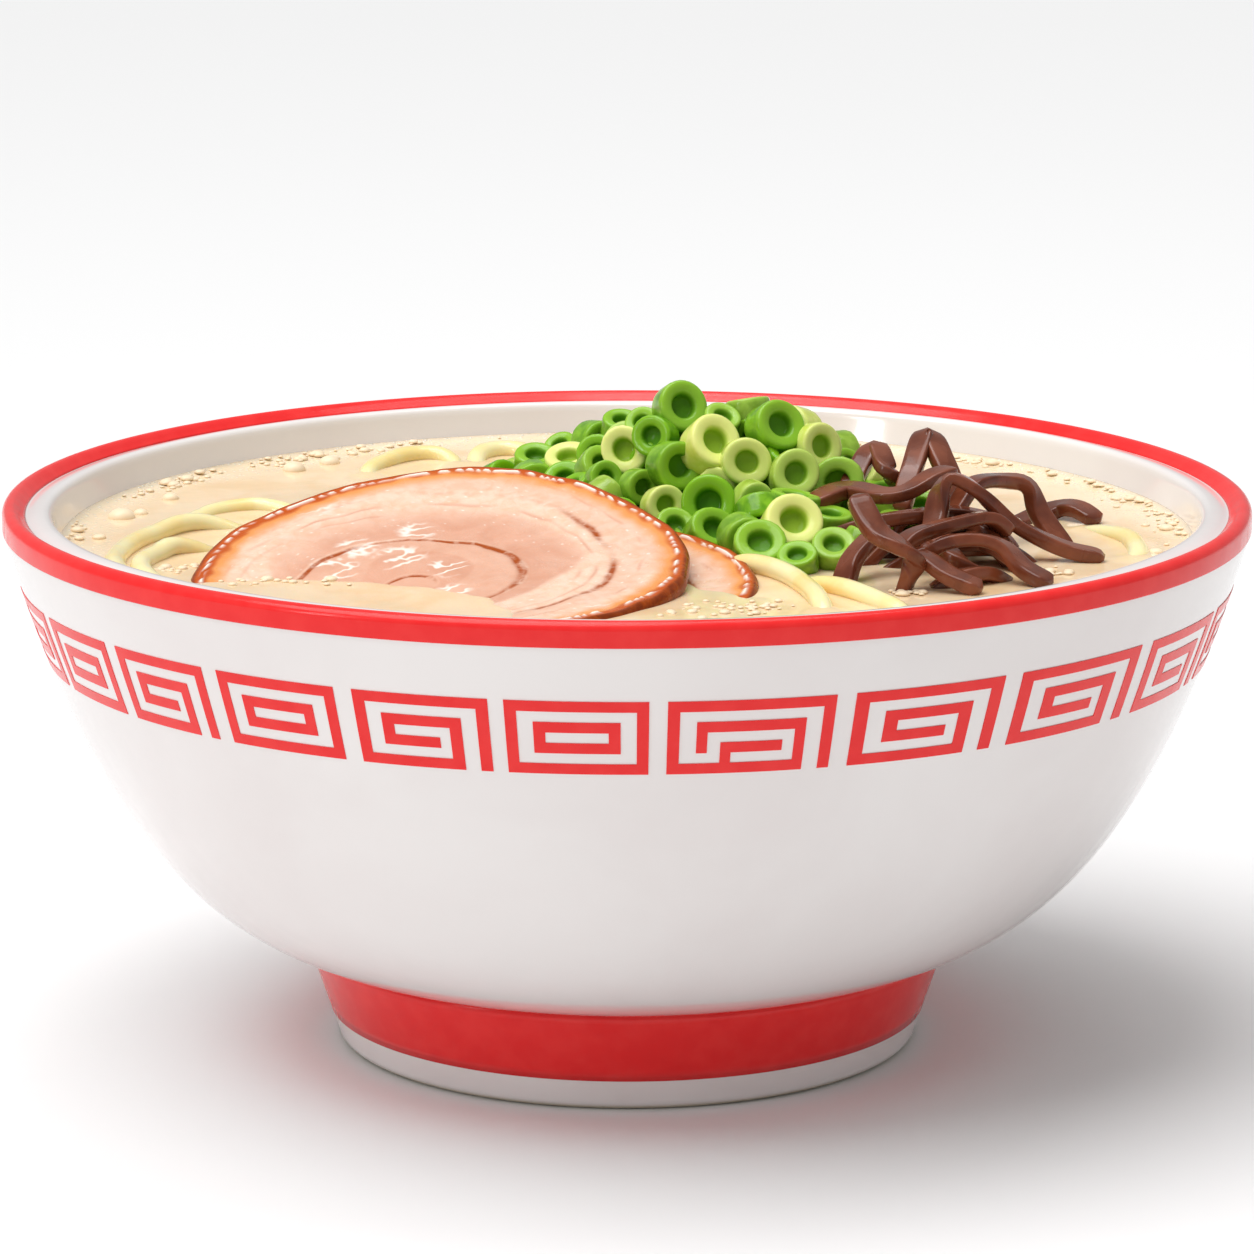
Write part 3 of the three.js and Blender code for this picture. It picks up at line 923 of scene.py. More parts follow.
# -------------------------------------------------------------------------------- broth
@dataclass
class Broth:
    """The broth, up to the bowl's wall, raised where it wets the wall and the noodles.

    Froth starts froth_from inside the wall and is full from froth_full on. The broth's side goes into_wall
    into the wall, from skirt below the surface down to as much over the bowl's floor.
    """

    bowl: Bowl
    noodles: Noodles
    into_wall: float = 0.25
    rings: int = 150
    segments: int = 360
    climb: float = 0.9
    reach: float = 1.6
    film: float = 0.75
    film_reach: float = 2.6
    tint: float = 0.4
    tint_reach: float = 3.0
    froth_from: float = 11.0
    froth_full: float = 3.0
    skirt: float = 3.0

    def top(self) -> tuple[Array, Array, Array]:
        """The surface's points, and how frothy and how near a noodle each one is."""
        edge = self.bowl.inner_radius(BROTH_LEVEL) + self.into_wall
        r = edge * (1 - np.linspace(1, 0, self.rings) ** 1.25 * 0.9999)
        bearing = np.linspace(0, 2 * np.pi, self.segments, endpoint=False)
        x, y = r[:, None] * np.sin(bearing), -r[:, None] * np.cos(bearing)
        flat = np.stack([x, y], axis=-1).reshape(-1, 2)
        lines = np.vstack(self.noodles.paths())
        lines = lines[lines[:, 2] > BROTH_LEVEL - self.film_reach]
        lift = np.zeros(len(flat))
        near = np.zeros(len(flat))
        # In parts, so that the table of distances stays small.
        for part in np.array_split(np.arange(len(flat)), 12):
            apart = np.linalg.norm(flat[part, None] - lines[None, :, :2], axis=-1)
            crest = lines[None, :, 2] + self.noodles.diameter / 2 - BROTH_LEVEL
            film = np.clip(crest, 0.0, self.film) * np.exp(-((apart / self.film_reach) ** 2))
            lift[part] = film.max(axis=1)
            near[part] = (np.exp(-((apart / self.tint_reach) ** 2)) * rise(crest, -1.5, 0.8)).max(axis=1)
        out = np.hypot(*flat.T)
        wall = np.exp(-(edge - out) / self.reach)
        slow = waves(flat, 45, 3) * 0.12
        z = BROTH_LEVEL + self.climb * wall + lift + slow * (1 - wall)
        froth = rise(out + 3.5 * waves(flat, 30, 9), edge - self.froth_from, edge - self.froth_full)
        return np.stack([flat[:, 0], flat[:, 1], z], axis=-1), froth, near

    def build(self) -> list[bpy.types.Object]:
        """Makes the closed body of broth."""
        points, froth, near = self.top()
        depth = np.linspace(0, 1, 14)[1:, None]
        z = BROTH_LEVEL - self.skirt - (BROTH_LEVEL - self.skirt - self.bowl.floor - self.skirt) * depth
        r = self.bowl.inner(z) + self.into_wall * (depth < 1)
        bearing = np.linspace(0, 2 * np.pi, self.segments, endpoint=False)
        side = around(r, bearing, z).reshape(-1, 3)
        corners = np.vstack([points, side, [0, 0, BROTH_LEVEL], [0, 0, float(z[-1, 0])]])
        faces = tube_faces(self.rings + len(depth), self.segments)
        zeros = np.zeros(len(side) + 2)
        marks = {"froth": np.append(froth, zeros), "near": np.append(near * self.tint, zeros)}
        made = Shape(corners, faces, marks).piece("broth_body", BrothFinish().material())
        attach(made, "root")
        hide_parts("broth")
        return [made]


# -------------------------------------------------------------------------------- pork
@dataclass
class PorkSlice:
    """One slice of rolled pork belly, lying over the broth.

    With u and v the shares of its two half-axes, its top's height over the broth is
    lift + back v + arch v^2 + side u, less a bell-shaped hollow of depth dip that the broth runs into.
    What lies in the meat is placed by such shares too: the hollow's middle and reach, patches of pale fat
    that also stand in as painted highlight, faint lines by where they lie between two turns of the seam and
    how strong they are, and for golden, roasted and rind where between the middle and the edge each one
    starts and is full.
    """

    name: str
    centre: Pair
    half: Pair
    turn: float
    lift: float
    back: float
    arch: float
    side: float
    dip: float
    seed: int
    thickness: float = 3.3
    hollow: tuple[float, float, float, float] = (-0.3, -0.5, 0.5, 0.42)
    roll_centre: Pair = (-0.01, -0.11)
    roll_start: float = 0.35
    roll_pitch: float = 0.365
    marbling_and_sheen: tuple[Point, ...] = (
        (-0.19, 0.4, 0.09),
        (-0.19, 0.15, 0.12),
        (-0.39, 0.22, 0.1),
        (0.03, 0.07, 0.1),
        (-0.43, 0.02, 0.12),
        (0.11, -0.17, 0.1),
        (0.81, -0.39, 0.1),
        (-0.7, 0.61, 0.13),
    )
    seam_width: Pair = (0.01, 0.006)
    faint_lines: tuple[Pair, ...] = ((0.3, 0.8), (0.62, 0.8), (0.8, 0.9))
    faint_width: float = 0.0095
    golden: Pair = (0.82, 0.95)
    roasted: Pair = (0.905, 0.965)
    rind: Pair = (0.966, 0.984)
    dot_count: int = 74
    dot_ring: float = 0.95
    dot_width: float = 0.0075
    rings: int = 205
    segments: int = 420
    flat_share: float = 0.975

    def outline(self, angle: Array) -> Array:
        """How far the edge lies from the middle in each direction, as a share of the half-axes."""
        even = 1 + 0.012 * np.sin(3 * angle + 0.8) + 0.01 * np.sin(5 * angle)
        return even + 0.004 * np.sin(11 * angle + self.seed) + 0.002 * np.sin(23 * angle)

    def over(self, u: Array, v: Array) -> Array:
        """The top's height over the broth."""
        at_u, at_v, reach_u, reach_v = self.hollow
        hollow = self.dip * np.exp(-(((u - at_u) / reach_u) ** 2) - ((v - at_v) / reach_v) ** 2)
        return self.lift + self.back * v + self.arch * v * v + self.side * u - hollow

    def marks(self, u: Array, v: Array, rho: Array) -> dict[str, Array]:
        """The slice's pattern.

        The rolled sheet's seam is a spiral: its distance from the middle grows by the roll's pitch in each
        turn. Outside each seam comes lean meat, then fat, and at the edge the roasted rind.

        Args:
            u: Share of the long half-axis.
            v: Share of the short one.
            rho: Share of the way from the middle to the edge.

        Returns:
            The marks that the pork's finish reads, each from 0 to 1.
        """
        flat = np.stack([u, v], axis=-1)
        off = np.clip(1 - rho**2, 0, 1)
        roll_u, roll_v = u - self.roll_centre[0] * off, v - self.roll_centre[1] * off
        angle = np.mod(np.arctan2(roll_v, roll_u), 2 * np.pi)
        radius = np.hypot(roll_u, roll_v)
        bend = 0.03 * waves(flat, 0.9, self.seed) + 0.008 * waves(flat, 0.25, self.seed + 1)
        turns = (radius + bend - self.roll_start) / self.roll_pitch - angle / (2 * np.pi)
        whole = np.floor(turns)
        along = turns - whole
        seam_gap = np.minimum(along, 1 - along) * self.roll_pitch
        firm = rise(waves(flat, 0.5, self.seed + 2), -0.8, 0.2)
        inner = 1 - rise(radius, 0.52, 0.76)
        thin, swell = self.seam_width
        seam_width = thin + swell * rise(roll_u, 0, 0.35)
        seam = 1.6 * np.exp(-((seam_gap / seam_width) ** 2)) * (0.35 + 0.65 * firm)
        patchy = 0.88 * rise(roll_u, 0.3, 0.6) * rise(waves(flat, 0.7, self.seed + 10), -0.6, 0.3)
        seam *= np.maximum(inner, 0.12 + patchy)
        seam *= rise(radius, 0.05, 0.12) * (1 - rise(rho, 0.86, 0.92))
        meaty = 0.25 + 0.4 * rise(roll_v, -0.05, 0.35)
        lean_band = rise(along, 0.02, 0.08) * (1 - rise(along, meaty, meaty + 0.16))
        middle = np.where(whole < 0, 1 - rise(angle, 3.8, 5.8) * rise(radius, 0.3, 0.45), 0)
        lean = np.maximum(lean_band * (0.25 + 0.75 * inner), 0.8 * middle)
        broken = rise(waves(flat, 0.35, self.seed + 7), -0.6, 0.6)
        for shift, weight in self.faint_lines:
            faint = np.exp(-(((along - shift) * self.roll_pitch / self.faint_width) ** 2))
            lean = np.maximum(lean, weight * faint * broken)
        return {
            "seam": np.clip(seam, 0, 1),
            "lean": np.clip(lean, 0, 1),
            "marble_and_sheen": self.marbled_and_sheen(u, v, rho),
            **self.edge_marks(u, v, rho),
        }

    def marbled_and_sheen(self, u: Array, v: Array, rho: Array) -> Array:
        """How much pale fat and painted highlight shows: fine slanting veins inside a few patches, and
        flecks towards the edge.
        """
        flat = np.stack([u, v], axis=-1)
        slant = np.stack([0.45 * (u + v), 1.6 * (u - v)], axis=-1)
        fat_vein_and_sheen_streak = np.abs(waves(slant, 0.24, self.seed + 3) + 0.3 * waves(flat, 0.06, self.seed + 9))
        fat_and_sheen_spots = [np.exp(-(np.hypot(u - a, v - b) / reach) ** 2) for a, b, reach in self.marbling_and_sheen]
        marble_and_sheen = (1 - rise(fat_vein_and_sheen_streak, 0.05, 0.3)) * rise(np.max(fat_and_sheen_spots, axis=0), 0.3, 0.75)
        fat_and_sheen_fleck = rise(waves(flat, 0.035, self.seed + 6), 0.85, 1.2) * rise(rho, 0.3, 0.6)
        return np.clip(0.95 * marble_and_sheen + 0.7 * fat_and_sheen_fleck * (1 - rise(rho, 0.9, 0.93)), 0, 1)

    def edge_marks(self, u: Array, v: Array, rho: Array) -> dict[str, Array]:
        """The marks of the edge: a row of beads of fat that are also painted highlights, the roast that
        fades inwards, and the rind.
        """
        flat = np.stack([u, v], axis=-1)
        bearing = np.mod(np.arctan2(v, u), 2 * np.pi)
        fat_and_sheen_dots = rise(np.sin(bearing * self.dot_count + 11 * waves(flat, 0.3, self.seed + 5)), -0.35, 0.15)
        fat_and_sheen_dots *= np.exp(-(((rho - self.dot_ring) / self.dot_width) ** 2))
        fat_and_sheen_dots *= rise(waves(flat, 0.6, self.seed + 13), -1.1, -0.3)
        uneven = rho + 0.014 * waves(flat, 0.12, self.seed + 8) + 0.022 * rise(-u, 0.3, 0.9)
        return {
            "fat_and_sheen_dots": np.clip(1.2 * fat_and_sheen_dots, 0, 1),
            "roast": 0.5 * rise(uneven, *self.golden) + 0.5 * rise(uneven, *self.roasted),
            "rind": rise(rho, *self.rind),
        }

    def shape(self) -> Shape:
        """The slice as a closed surface: a fine disc on top, a rounded rind, a plain disc below."""
        angle = np.linspace(0, 2 * np.pi, self.segments, endpoint=False)
        top = self.flat_share * (1 - 0.96 * np.linspace(1, 0, self.rings))
        bend = np.linspace(np.pi / 2, -np.pi / 2, 12)[1:]
        edge = self.thickness / 2
        rounded = self.flat_share + (1 - self.flat_share) * np.cos(bend)
        rho = np.concatenate([[0.012], top, rounded, [0.7, 0.4, 0.1]])
        rise_by = np.concatenate([np.full(len(top) + 1, edge), edge * np.sin(bend), np.full(3, -edge)])
        grid_rho, grid_angle = np.meshgrid(rho, angle, indexing="ij")
        reach = grid_rho * self.outline(grid_angle)
        u, v = reach * np.cos(grid_angle), reach * np.sin(grid_angle)
        marks = {name: value.ravel() for name, value in self.marks(u, v, grid_rho).items()}
        upper = (rise_by > 0)[:, None] * np.ones_like(u)
        under = rise_by[:, None] < 0.98 * edge
        for name in ("rind", "roast"):
            marks[name] = np.where(under.repeat(self.segments, axis=1).ravel(), 1.0, marks[name])
        flat = np.stack([u, v], axis=-1)
        relief = (0.3 * marks["fat_and_sheen_dots"] - 0.1 * marks["seam"] - 0.08 * marks["lean"]).reshape(u.shape)
        relief += 0.16 * waves(flat, 0.3, self.seed + 11) + 0.05 * waves(flat, 0.08, self.seed + 12)
        z = self.over(u, v) - edge + rise_by[:, None] + relief * upper * (grid_rho < 0.985)
        ends = self.placed(np.zeros(2), np.zeros(2), self.over(0, 0) - [0, self.thickness])
        marks = {name: np.append(value, [value[0], value[-1]]) for name, value in marks.items()}
        return Shape(np.vstack([self.placed(u, v, z), ends]), tube_faces(*u.shape), marks)

    def heading(self) -> Pair:
        """The cosine and sine of the angle by which the slice is turned."""
        return math.cos(math.radians(self.turn)), math.sin(math.radians(self.turn))

    def holds(self, x: Array, y: Array, margin: float) -> Array:
        """Whether places are over the slice, or within a margin given as a share of its half-axes."""
        c, s = self.heading()
        dx, dy = x - self.centre[0], y - self.centre[1]
        u, v = (dx * c + dy * s) / self.half[0], (dy * c - dx * s) / self.half[1]
        return np.hypot(u, v) < 1 + margin

    def placed(self, u: Array, v: Array, z: Array) -> Array:
        """Points of the slice's own surface, turned and moved to where it lies."""
        c, s = self.heading()
        a, b = u * self.half[0], v * self.half[1]
        x = self.centre[0] + a * c - b * s
        y = self.centre[1] + a * s + b * c
        return np.stack([x, y, BROTH_LEVEL + z], axis=-1).reshape(-1, 3)

    def build(self, finish: bpy.types.Material) -> list[bpy.types.Object]:
        """Makes the slice."""
        made = self.shape().piece(self.name + "_meat", finish)
        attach(made, "root")
        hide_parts(self.name)
        return [made]


# -------------------------------------------------------------------------------- spring onion
@dataclass(frozen=True)
class Bump:
    """One swelling of the mound: its middle, its height and how far it spreads."""

    x: float
    y: float
    height: float
    spread: float


@dataclass(frozen=True)
class HeroRing:
    """A listed ring of onion: middle, height over the broth, axis, radius and tone."""

    x: float
    y: float
    over: float
    axis: Point
    radius: float
    tone: float


@dataclass(frozen=True)
class Layer:
    """Rings packed over the mound: how many places to try, how deep the rings lie, how fine each one is."""

    tries: int
    sunk: float
    segments: int


@dataclass
class OnionMound:
    """Sliced spring onion: a rough core, rings packed over it and a few listed ones."""

    slices: tuple[PorkSlice, ...]
    bumps: tuple[Bump, ...] = (
        Bump(10, 14, 15.5, 18),
        Bump(27, 5, 11.5, 15),
        Bump(-5, 36, 7, 14.5),
        Bump(27, -19, 5.5, 12),
        Bump(36, 20, 5, 13),
    )
    heroes: tuple[HeroRing, ...] = (
        HeroRing(9, 15, 19.2, (0.3, -0.85, 0.35), 4.6, 0.12),
        HeroRing(14, 3, 14.9, (0.4, -0.7, 0.5), 5.0, 0.95),
        HeroRing(20, -2, 13.0, (0.1, -0.95, 0.2), 4.3, 0.75),
        HeroRing(25, 5, 17.6, (0.45, -0.75, 0.4), 4.7, 0.1),
        HeroRing(32, 5, 14.3, (0.5, -0.8, 0.2), 4.2, 0.8),
        HeroRing(28, -4, 11.2, (0.2, -0.9, 0.3), 4.3, 0.45),
        HeroRing(8, 2, 11.6, (0.45, -0.85, 0.15), 4.5, 0.1),
        HeroRing(0, 20, 11.6, (-0.1, -0.7, 0.7), 4.2, 0.35),
        HeroRing(-5.2, 34, 9.7, (0.5, -0.8, 0.1), 4.3, 0.1),
        HeroRing(-10, 28, 6.8, (-0.1, -0.35, 0.93), 4.5, 0.9),
        HeroRing(-16, 36, 5.9, (0, -0.4, 0.9), 3.8, 0.1),
        HeroRing(-11.4, 38, 7.7, (-0.3, -0.5, 0.8), 3.2, 0.1),
        HeroRing(2, 2, 8.0, (0.5, -0.85, 0.1), 3.3, 0.15),
        HeroRing(6, -4, 5.9, (0.35, -0.9, 0.25), 3.6, 0.8),
        HeroRing(14, -7, 6.7, (-0.15, -0.95, 0.25), 5.0, 0.05),
        HeroRing(19, -20, 3.9, (0.35, -0.9, -0.1), 3.9, 0.15),
        HeroRing(27, -21, 5.6, (0.25, -0.75, 0.6), 5.2, 0.95),
        HeroRing(34, -27, 2.6, (0, -0.55, 0.83), 3.9, 0.2),
        HeroRing(21, -9, 7.8, (0.3, -0.9, 0), 3.4, 0.4),
        HeroRing(28, -31, 1.8, (-0.1, -0.5, 0.85), 3.4, 0.1),
        HeroRing(-1, 29, 13.4, (0.1, -0.4, 0.9), 3.5, 0.1),
        HeroRing(3, 18, 15.6, (-0.3, -0.7, 0.6), 3.2, 0.15),
        HeroRing(16, 8, 18.0, (0.2, -0.5, 0.8), 3.3, 0.2),
        HeroRing(37, 7, 10.2, (0.5, -0.6, 0.6), 3.3, 0.1),
        HeroRing(-4, 9, 7.9, (0.3, -0.8, 0.3), 3.2, 0.1),
    )
    layers: tuple[Layer, ...] = (Layer(9000, 0.2, 18), Layer(5000, 4.6, 12))
    edge: float = 1.6
    hole: float = 0.44
    apart: float = 6.2
    radius: Pair = (3.5, 4.8)
    length: Pair = (3.8, 5.2)
    stem_share: float = 0.16
    outward: float = 0.55
    tumbled: float = 0.75
    leaning: Point = (0, -0.25, 0.1)
    hero_shape: Point = (1, 0.94, 1.15)
    tried_x: Pair = (-32, 56)
    tried_y: Pair = (-38, 66)
    meat_margin: float = 0.07
    core_steps: int = 90
    core_rows: int = 30
    core_inset: float = 3.0
    core_sunk: float = 4.2
    core_depth: float = 5.0
    seed: int = 12

    def over(self, x: Array, y: Array) -> Array:
        """The mound's height over the broth: its bumps, each a bell curve, added up."""
        bells = [b.height * np.exp(-((x - b.x) ** 2 + (y - b.y) ** 2) / b.spread**2) for b in self.bumps]
        return sum(bells)

    def core(self) -> Shape:
        """A lumpy core inside the rings, on a grid of bearing by share of the reach, in the hollows' painted
        shade.
        """
        middle = self.bumps[0]
        bearing = np.linspace(0, 2 * np.pi, self.core_steps, endpoint=False)
        far = np.linspace(1, 90, 360)
        x = middle.x + far[:, None] * np.sin(bearing)
        y = middle.y - far[:, None] * np.cos(bearing)
        steps_out = (self.over(x, y) > self.edge).cumprod(axis=0).sum(axis=0).astype(int)
        reach = far[steps_out] - self.core_inset
        share = np.linspace(0.02, 1, self.core_rows)[:, None]
        x = middle.x + share * reach * np.sin(bearing)
        y = middle.y - share * reach * np.cos(bearing)
        flat = np.stack([x, y], axis=-1)
        z = BROTH_LEVEL + self.over(x, y) - self.core_sunk + 0.9 * waves(flat, 7, 4) - 3 * share**6
        top = np.stack([x, y, z], axis=-1).reshape(-1, 3)
        bottom = BROTH_LEVEL - self.core_depth
        foot = top[-self.core_steps :] * [1, 1, 0] + [0, 0, bottom]
        ends = np.array([[middle.x, middle.y, z[0].mean()], [middle.x, middle.y, bottom]])
        made = Shape(np.vstack([top, foot, ends]), tube_faces(self.core_rows + 1, self.core_steps))
        # Marked mostly as hollow, so that the core seen between the rings takes the painted shade of the
        # hollows.
        return made.marked(tone=0.05, cut=0.0, hollow=0.8)

    def ring(self, segments: int) -> Shape:
        """One ring of radius 1 and length 1, with soft-edged ends and a hole that inner leaves close."""
        h = self.hole
        leaves = [[0, 0.1], [h - 0.08, 0.1], [h - 0.01, 0.14], [h, 0.22]]
        lip = [[h + 0.02, 0.36], [h + 0.06, 0.43], [h + 0.13, 0.465], [0.8, 0.5]]
        outside = [[0.89, 0.5], [0.955, 0.47], [0.99, 0.41], [1.0, 0.3]]
        half = np.array([*leaves, *lip, *outside])
        made = lathe(np.vstack([half * [1, -1], half[::-1]]), segments)
        cut = [0, 0, 0, 0.2, 0.5, 0.9, 1, 0.9, 0.8, 0.3, 0]
        # The mark "hollow" is where the finish paints shade inside the ring's hole.
        hollow = [1, 1, 1, 0.7, 0.35, 0.1, 0, 0, 0, 0, 0]
        last = 2 * len(cut) - 1
        row = np.append(np.repeat(np.arange(last + 1), segments), [0, last])
        return made.marked(cut=np.array(cut + cut[::-1])[row], hollow=np.array(hollow + hollow[::-1])[row])

    def scattered(self, layer: Layer, rng: np.random.Generator, taken: Array) -> Array:
        """Places for rings over the mound.

        Chance places are tried in turn, and one is kept if it is clear of all kept so far.

        Args:
            layer: Which rings they are for.
            rng: Where chance comes from.
            taken: Places already in use.

        Returns:
            The kept places.
        """
        x = rng.uniform(*self.tried_x, layer.tries)
        y = rng.uniform(*self.tried_y, layer.tries)
        over = self.over(x, y)
        under_meat = np.any([s.holds(x, y, self.meat_margin) for s in self.slices], axis=0)
        usable = (over > self.edge + layer.sunk * 0.4) & ~under_meat
        kept = list(taken)
        for place in np.stack([x, y, over - layer.sunk], axis=-1)[usable]:
            if np.linalg.norm(np.array(kept) - place, axis=1).min() > self.apart:
                kept.append(place)
        return np.array(kept[len(taken) :])

    def slope(self, places: Array) -> Array:
        """The outward direction of the mound's surface."""
        step = 1.0
        x, y = places[:, 0], places[:, 1]
        across = (self.over(x + step, y) - self.over(x - step, y)) / (2 * step)
        along = (self.over(x, y + step) - self.over(x, y - step)) / (2 * step)
        return unit(np.stack([-across, -along, np.ones(len(x))], axis=-1))

    def build(self) -> list[bpy.types.Object]:
        """Makes the mound as one piece."""
        rng = np.random.default_rng(self.seed)
        hero_places = np.array([[h.x, h.y, h.over] for h in self.heroes])
        parts = [self.core()]
        for layer in self.layers:
            places = self.scattered(layer, rng, hero_places)
            count = len(places)
            chance = unit(rng.normal(size=(count, 3)))
            axes = unit(self.outward * self.slope(places) + self.tumbled * chance + np.array(self.leaning))
            radius = rng.uniform(*self.radius, count)
            length = rng.uniform(*self.length, count)
            sizes = np.stack([radius, radius * rng.uniform(0.85, 1.0, count), length], axis=-1)
            ring = self.ring(layer.segments)
            made = copies(ring, places + [0, 0, BROTH_LEVEL], facing(axes, rng), sizes)
            stem = rng.uniform(size=count) < self.stem_share
            tone = np.where(stem, rng.uniform(0.75, 1.0, count), rng.beta(1.2, 3.5, count) * 0.5)
            parts.append(made.marked(tone=np.repeat(tone, len(ring.points))))
        for hero in self.heroes:
            size = hero.radius * np.array([self.hero_shape])
            place = np.array([[hero.x, hero.y, BROTH_LEVEL + hero.over]])
            made = copies(self.ring(32), place, facing(np.array([hero.axis]), rng), size)
            parts.append(made.marked(tone=hero.tone))
        piece = joined(parts).piece("spring_onion_rings", OnionFinish().material())
        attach(piece, "root")
        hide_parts("spring_onion")
        return [piece]


# -------------------------------------------------------------------------------- mushroom
@dataclass
class MushroomTangle:
    """Listed strips of wood ear mushroom over a heap of others. Heights are over the broth."""

    width: float = 4.2
    thickness: float = 2.3
    cupped: float = 0.18
    step: float = 0.8
    strips: tuple[tuple[Point, ...], ...] = (
        (
            (28, -12, 5), (32, -11, 8), (37, -7, 9), (43, -12, 9),
            (47, -13, 10), (51, -11, 12), (55, -8, 12.6),
        ),
        ((36, -6, 3), (38, -1, 9), (42, 6, 14), (44, 0, 11), (47, 3, 8)),
        ((46, -6, 5), (48, -1, 11), (51, 8, 16), (53.5, 2, 12), (56, -4, 6)),
        (
            (50, -27, -1), (51, -23, 7), (52, -21.5, 12), (54, -21, 13.6),
            (58, -22, 11.5), (64, -21, 6), (72, -21.5, 2), (79, -22.5, 0.6),
        ),
        ((54, -14, 6), (58, -10, 10.5), (64, -4, 10), (67.5, -3.5, 9), (69.5, -4.5, 4.5), (74, -9, -1.5)),
        ((64, 8, -1), (73, 15, 1.2), (77, 13, 2), (80.5, 9, 0.6)),
        (
            (37, -39.5, 14.4), (40, -44.5, 9.4), (43.2, -46.6, 7.6), (45.6, -47, 6.2),
            (46.2, -46.2, 4), (45, -45.5, 0.6), (44.4, -45, -3),
        ),
        (
            (44, -34, 3.5), (46.5, -32.5, 5.8), (50, -31, 6.9),
            (54.3, -29, 7.7), (59.5, -26, 7.9), (63, -24, 5),
        ),
        (
            (47.6, -38.5, 3), (51.4, -39, 6.2), (56.9, -38, 6.7),
            (61.1, -38.4, 5.4), (64.2, -40.4, 2.4), (68.6, -43, 0.2),
        ),
        ((46.5, -42, 5), (48.6, -44, 4.4), (52, -46.5, 2.4), (57, -48.6, 0.5)),
        ((42, -30, 7), (39, -35, 5.5), (36.5, -38, 3), (35, -40, -1)),
        ((55, -23, 4), (60, -27, 3.8), (65, -31, 0.6)),
        ((49, -42, -1.5), (53, -41.6, 0.9), (58, -39.4, 1.4), (62, -36, -1)),
        ((33, -19, 3), (40, -21, 6), (47, -20, 7), (55, -17, 7), (62, -14, 5)),
    )
    buried: int = 8
    heap_x: Pair = (44, 60)
    heap_y: Pair = (-26, -8)
    heap_turn: float = 0.7
    heap_sway: float = 4.0
    heap_half: Pair = (8, 14)
    heap_height: Pair = (2.5, 6.5)
    sunk: float = -2.0
    seed: int = 5

    def section(self) -> Array:
        """The strip's section: a flat bar with round edges, its middle a little sunk."""
        turn = np.linspace(0, 2 * np.pi, 20, endpoint=False) + 0.12
        x = np.sign(np.cos(turn)) * np.abs(np.cos(turn)) ** 0.35 * self.width / 2
        y = np.sign(np.sin(turn)) * np.abs(np.sin(turn)) ** 0.4 * self.thickness / 2
        return np.stack([x, y + self.cupped * (2 * x / self.width) ** 2], axis=-1)

    def strip(self, controls: Sequence[Sequence[float]], number: int) -> Shape:
        """One strip, wavy in width and a little twisted, with blunt ends."""
        path = smooth_path(controls, self.step) + [0, 0, BROTH_LEVEL]
        share = np.linspace(0, 1, len(path))
        blunt = np.sqrt(np.clip(1 - (2 * share - 1) ** 26, 0.12, 1))
        wide = blunt * (0.92 + 0.07 * np.sin(5 * share + 2.1 * number))
        thick = blunt * (1 + 0.08 * np.sin(6 * share + number))
        twist = 0.16 * np.sin(3 * share + 1.3 * number)
        return swept(path, self.section(), np.stack([wide, thick], axis=-1), twist)

    def hidden(self, rng: np.random.Generator) -> list[Shape]:
        """Strips under the others: short arches across the heap at chance headings."""
        made = []
        for i in range(self.buried):
            middle = np.array([rng.uniform(*self.heap_x), rng.uniform(*self.heap_y), 0])
            heading = rng.uniform(-self.heap_turn, self.heap_turn)
            ahead = np.array([math.cos(heading), math.sin(heading), 0])
            aside = np.array([-ahead[1], ahead[0], 0]) * rng.uniform(-self.heap_sway, self.heap_sway)
            half = rng.uniform(*self.heap_half)
            high = rng.uniform(*self.heap_height)
            controls = [
                middle - ahead * half + [0, 0, self.sunk],
                middle - ahead * half * 0.5 + aside + [0, 0, high * 0.8],
                middle + aside * 0.3 + [0, 0, high],
                middle + ahead * half * 0.55 - aside + [0, 0, high * 0.7],
                middle + ahead * half + [0, 0, self.sunk],
            ]
            made.append(self.strip(controls, 20 + i))
        return made

    def build(self) -> list[bpy.types.Object]:
        """Makes the tangle as one piece."""
        rng = np.random.default_rng(self.seed)
        laid = [self.strip(controls, i) for i, controls in enumerate(self.strips)]
        piece = joined([*laid, *self.hidden(rng)]).piece("mushroom_strips", MushroomFinish().material())
        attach(piece, "root")
        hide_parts("mushroom")
        return [piece]


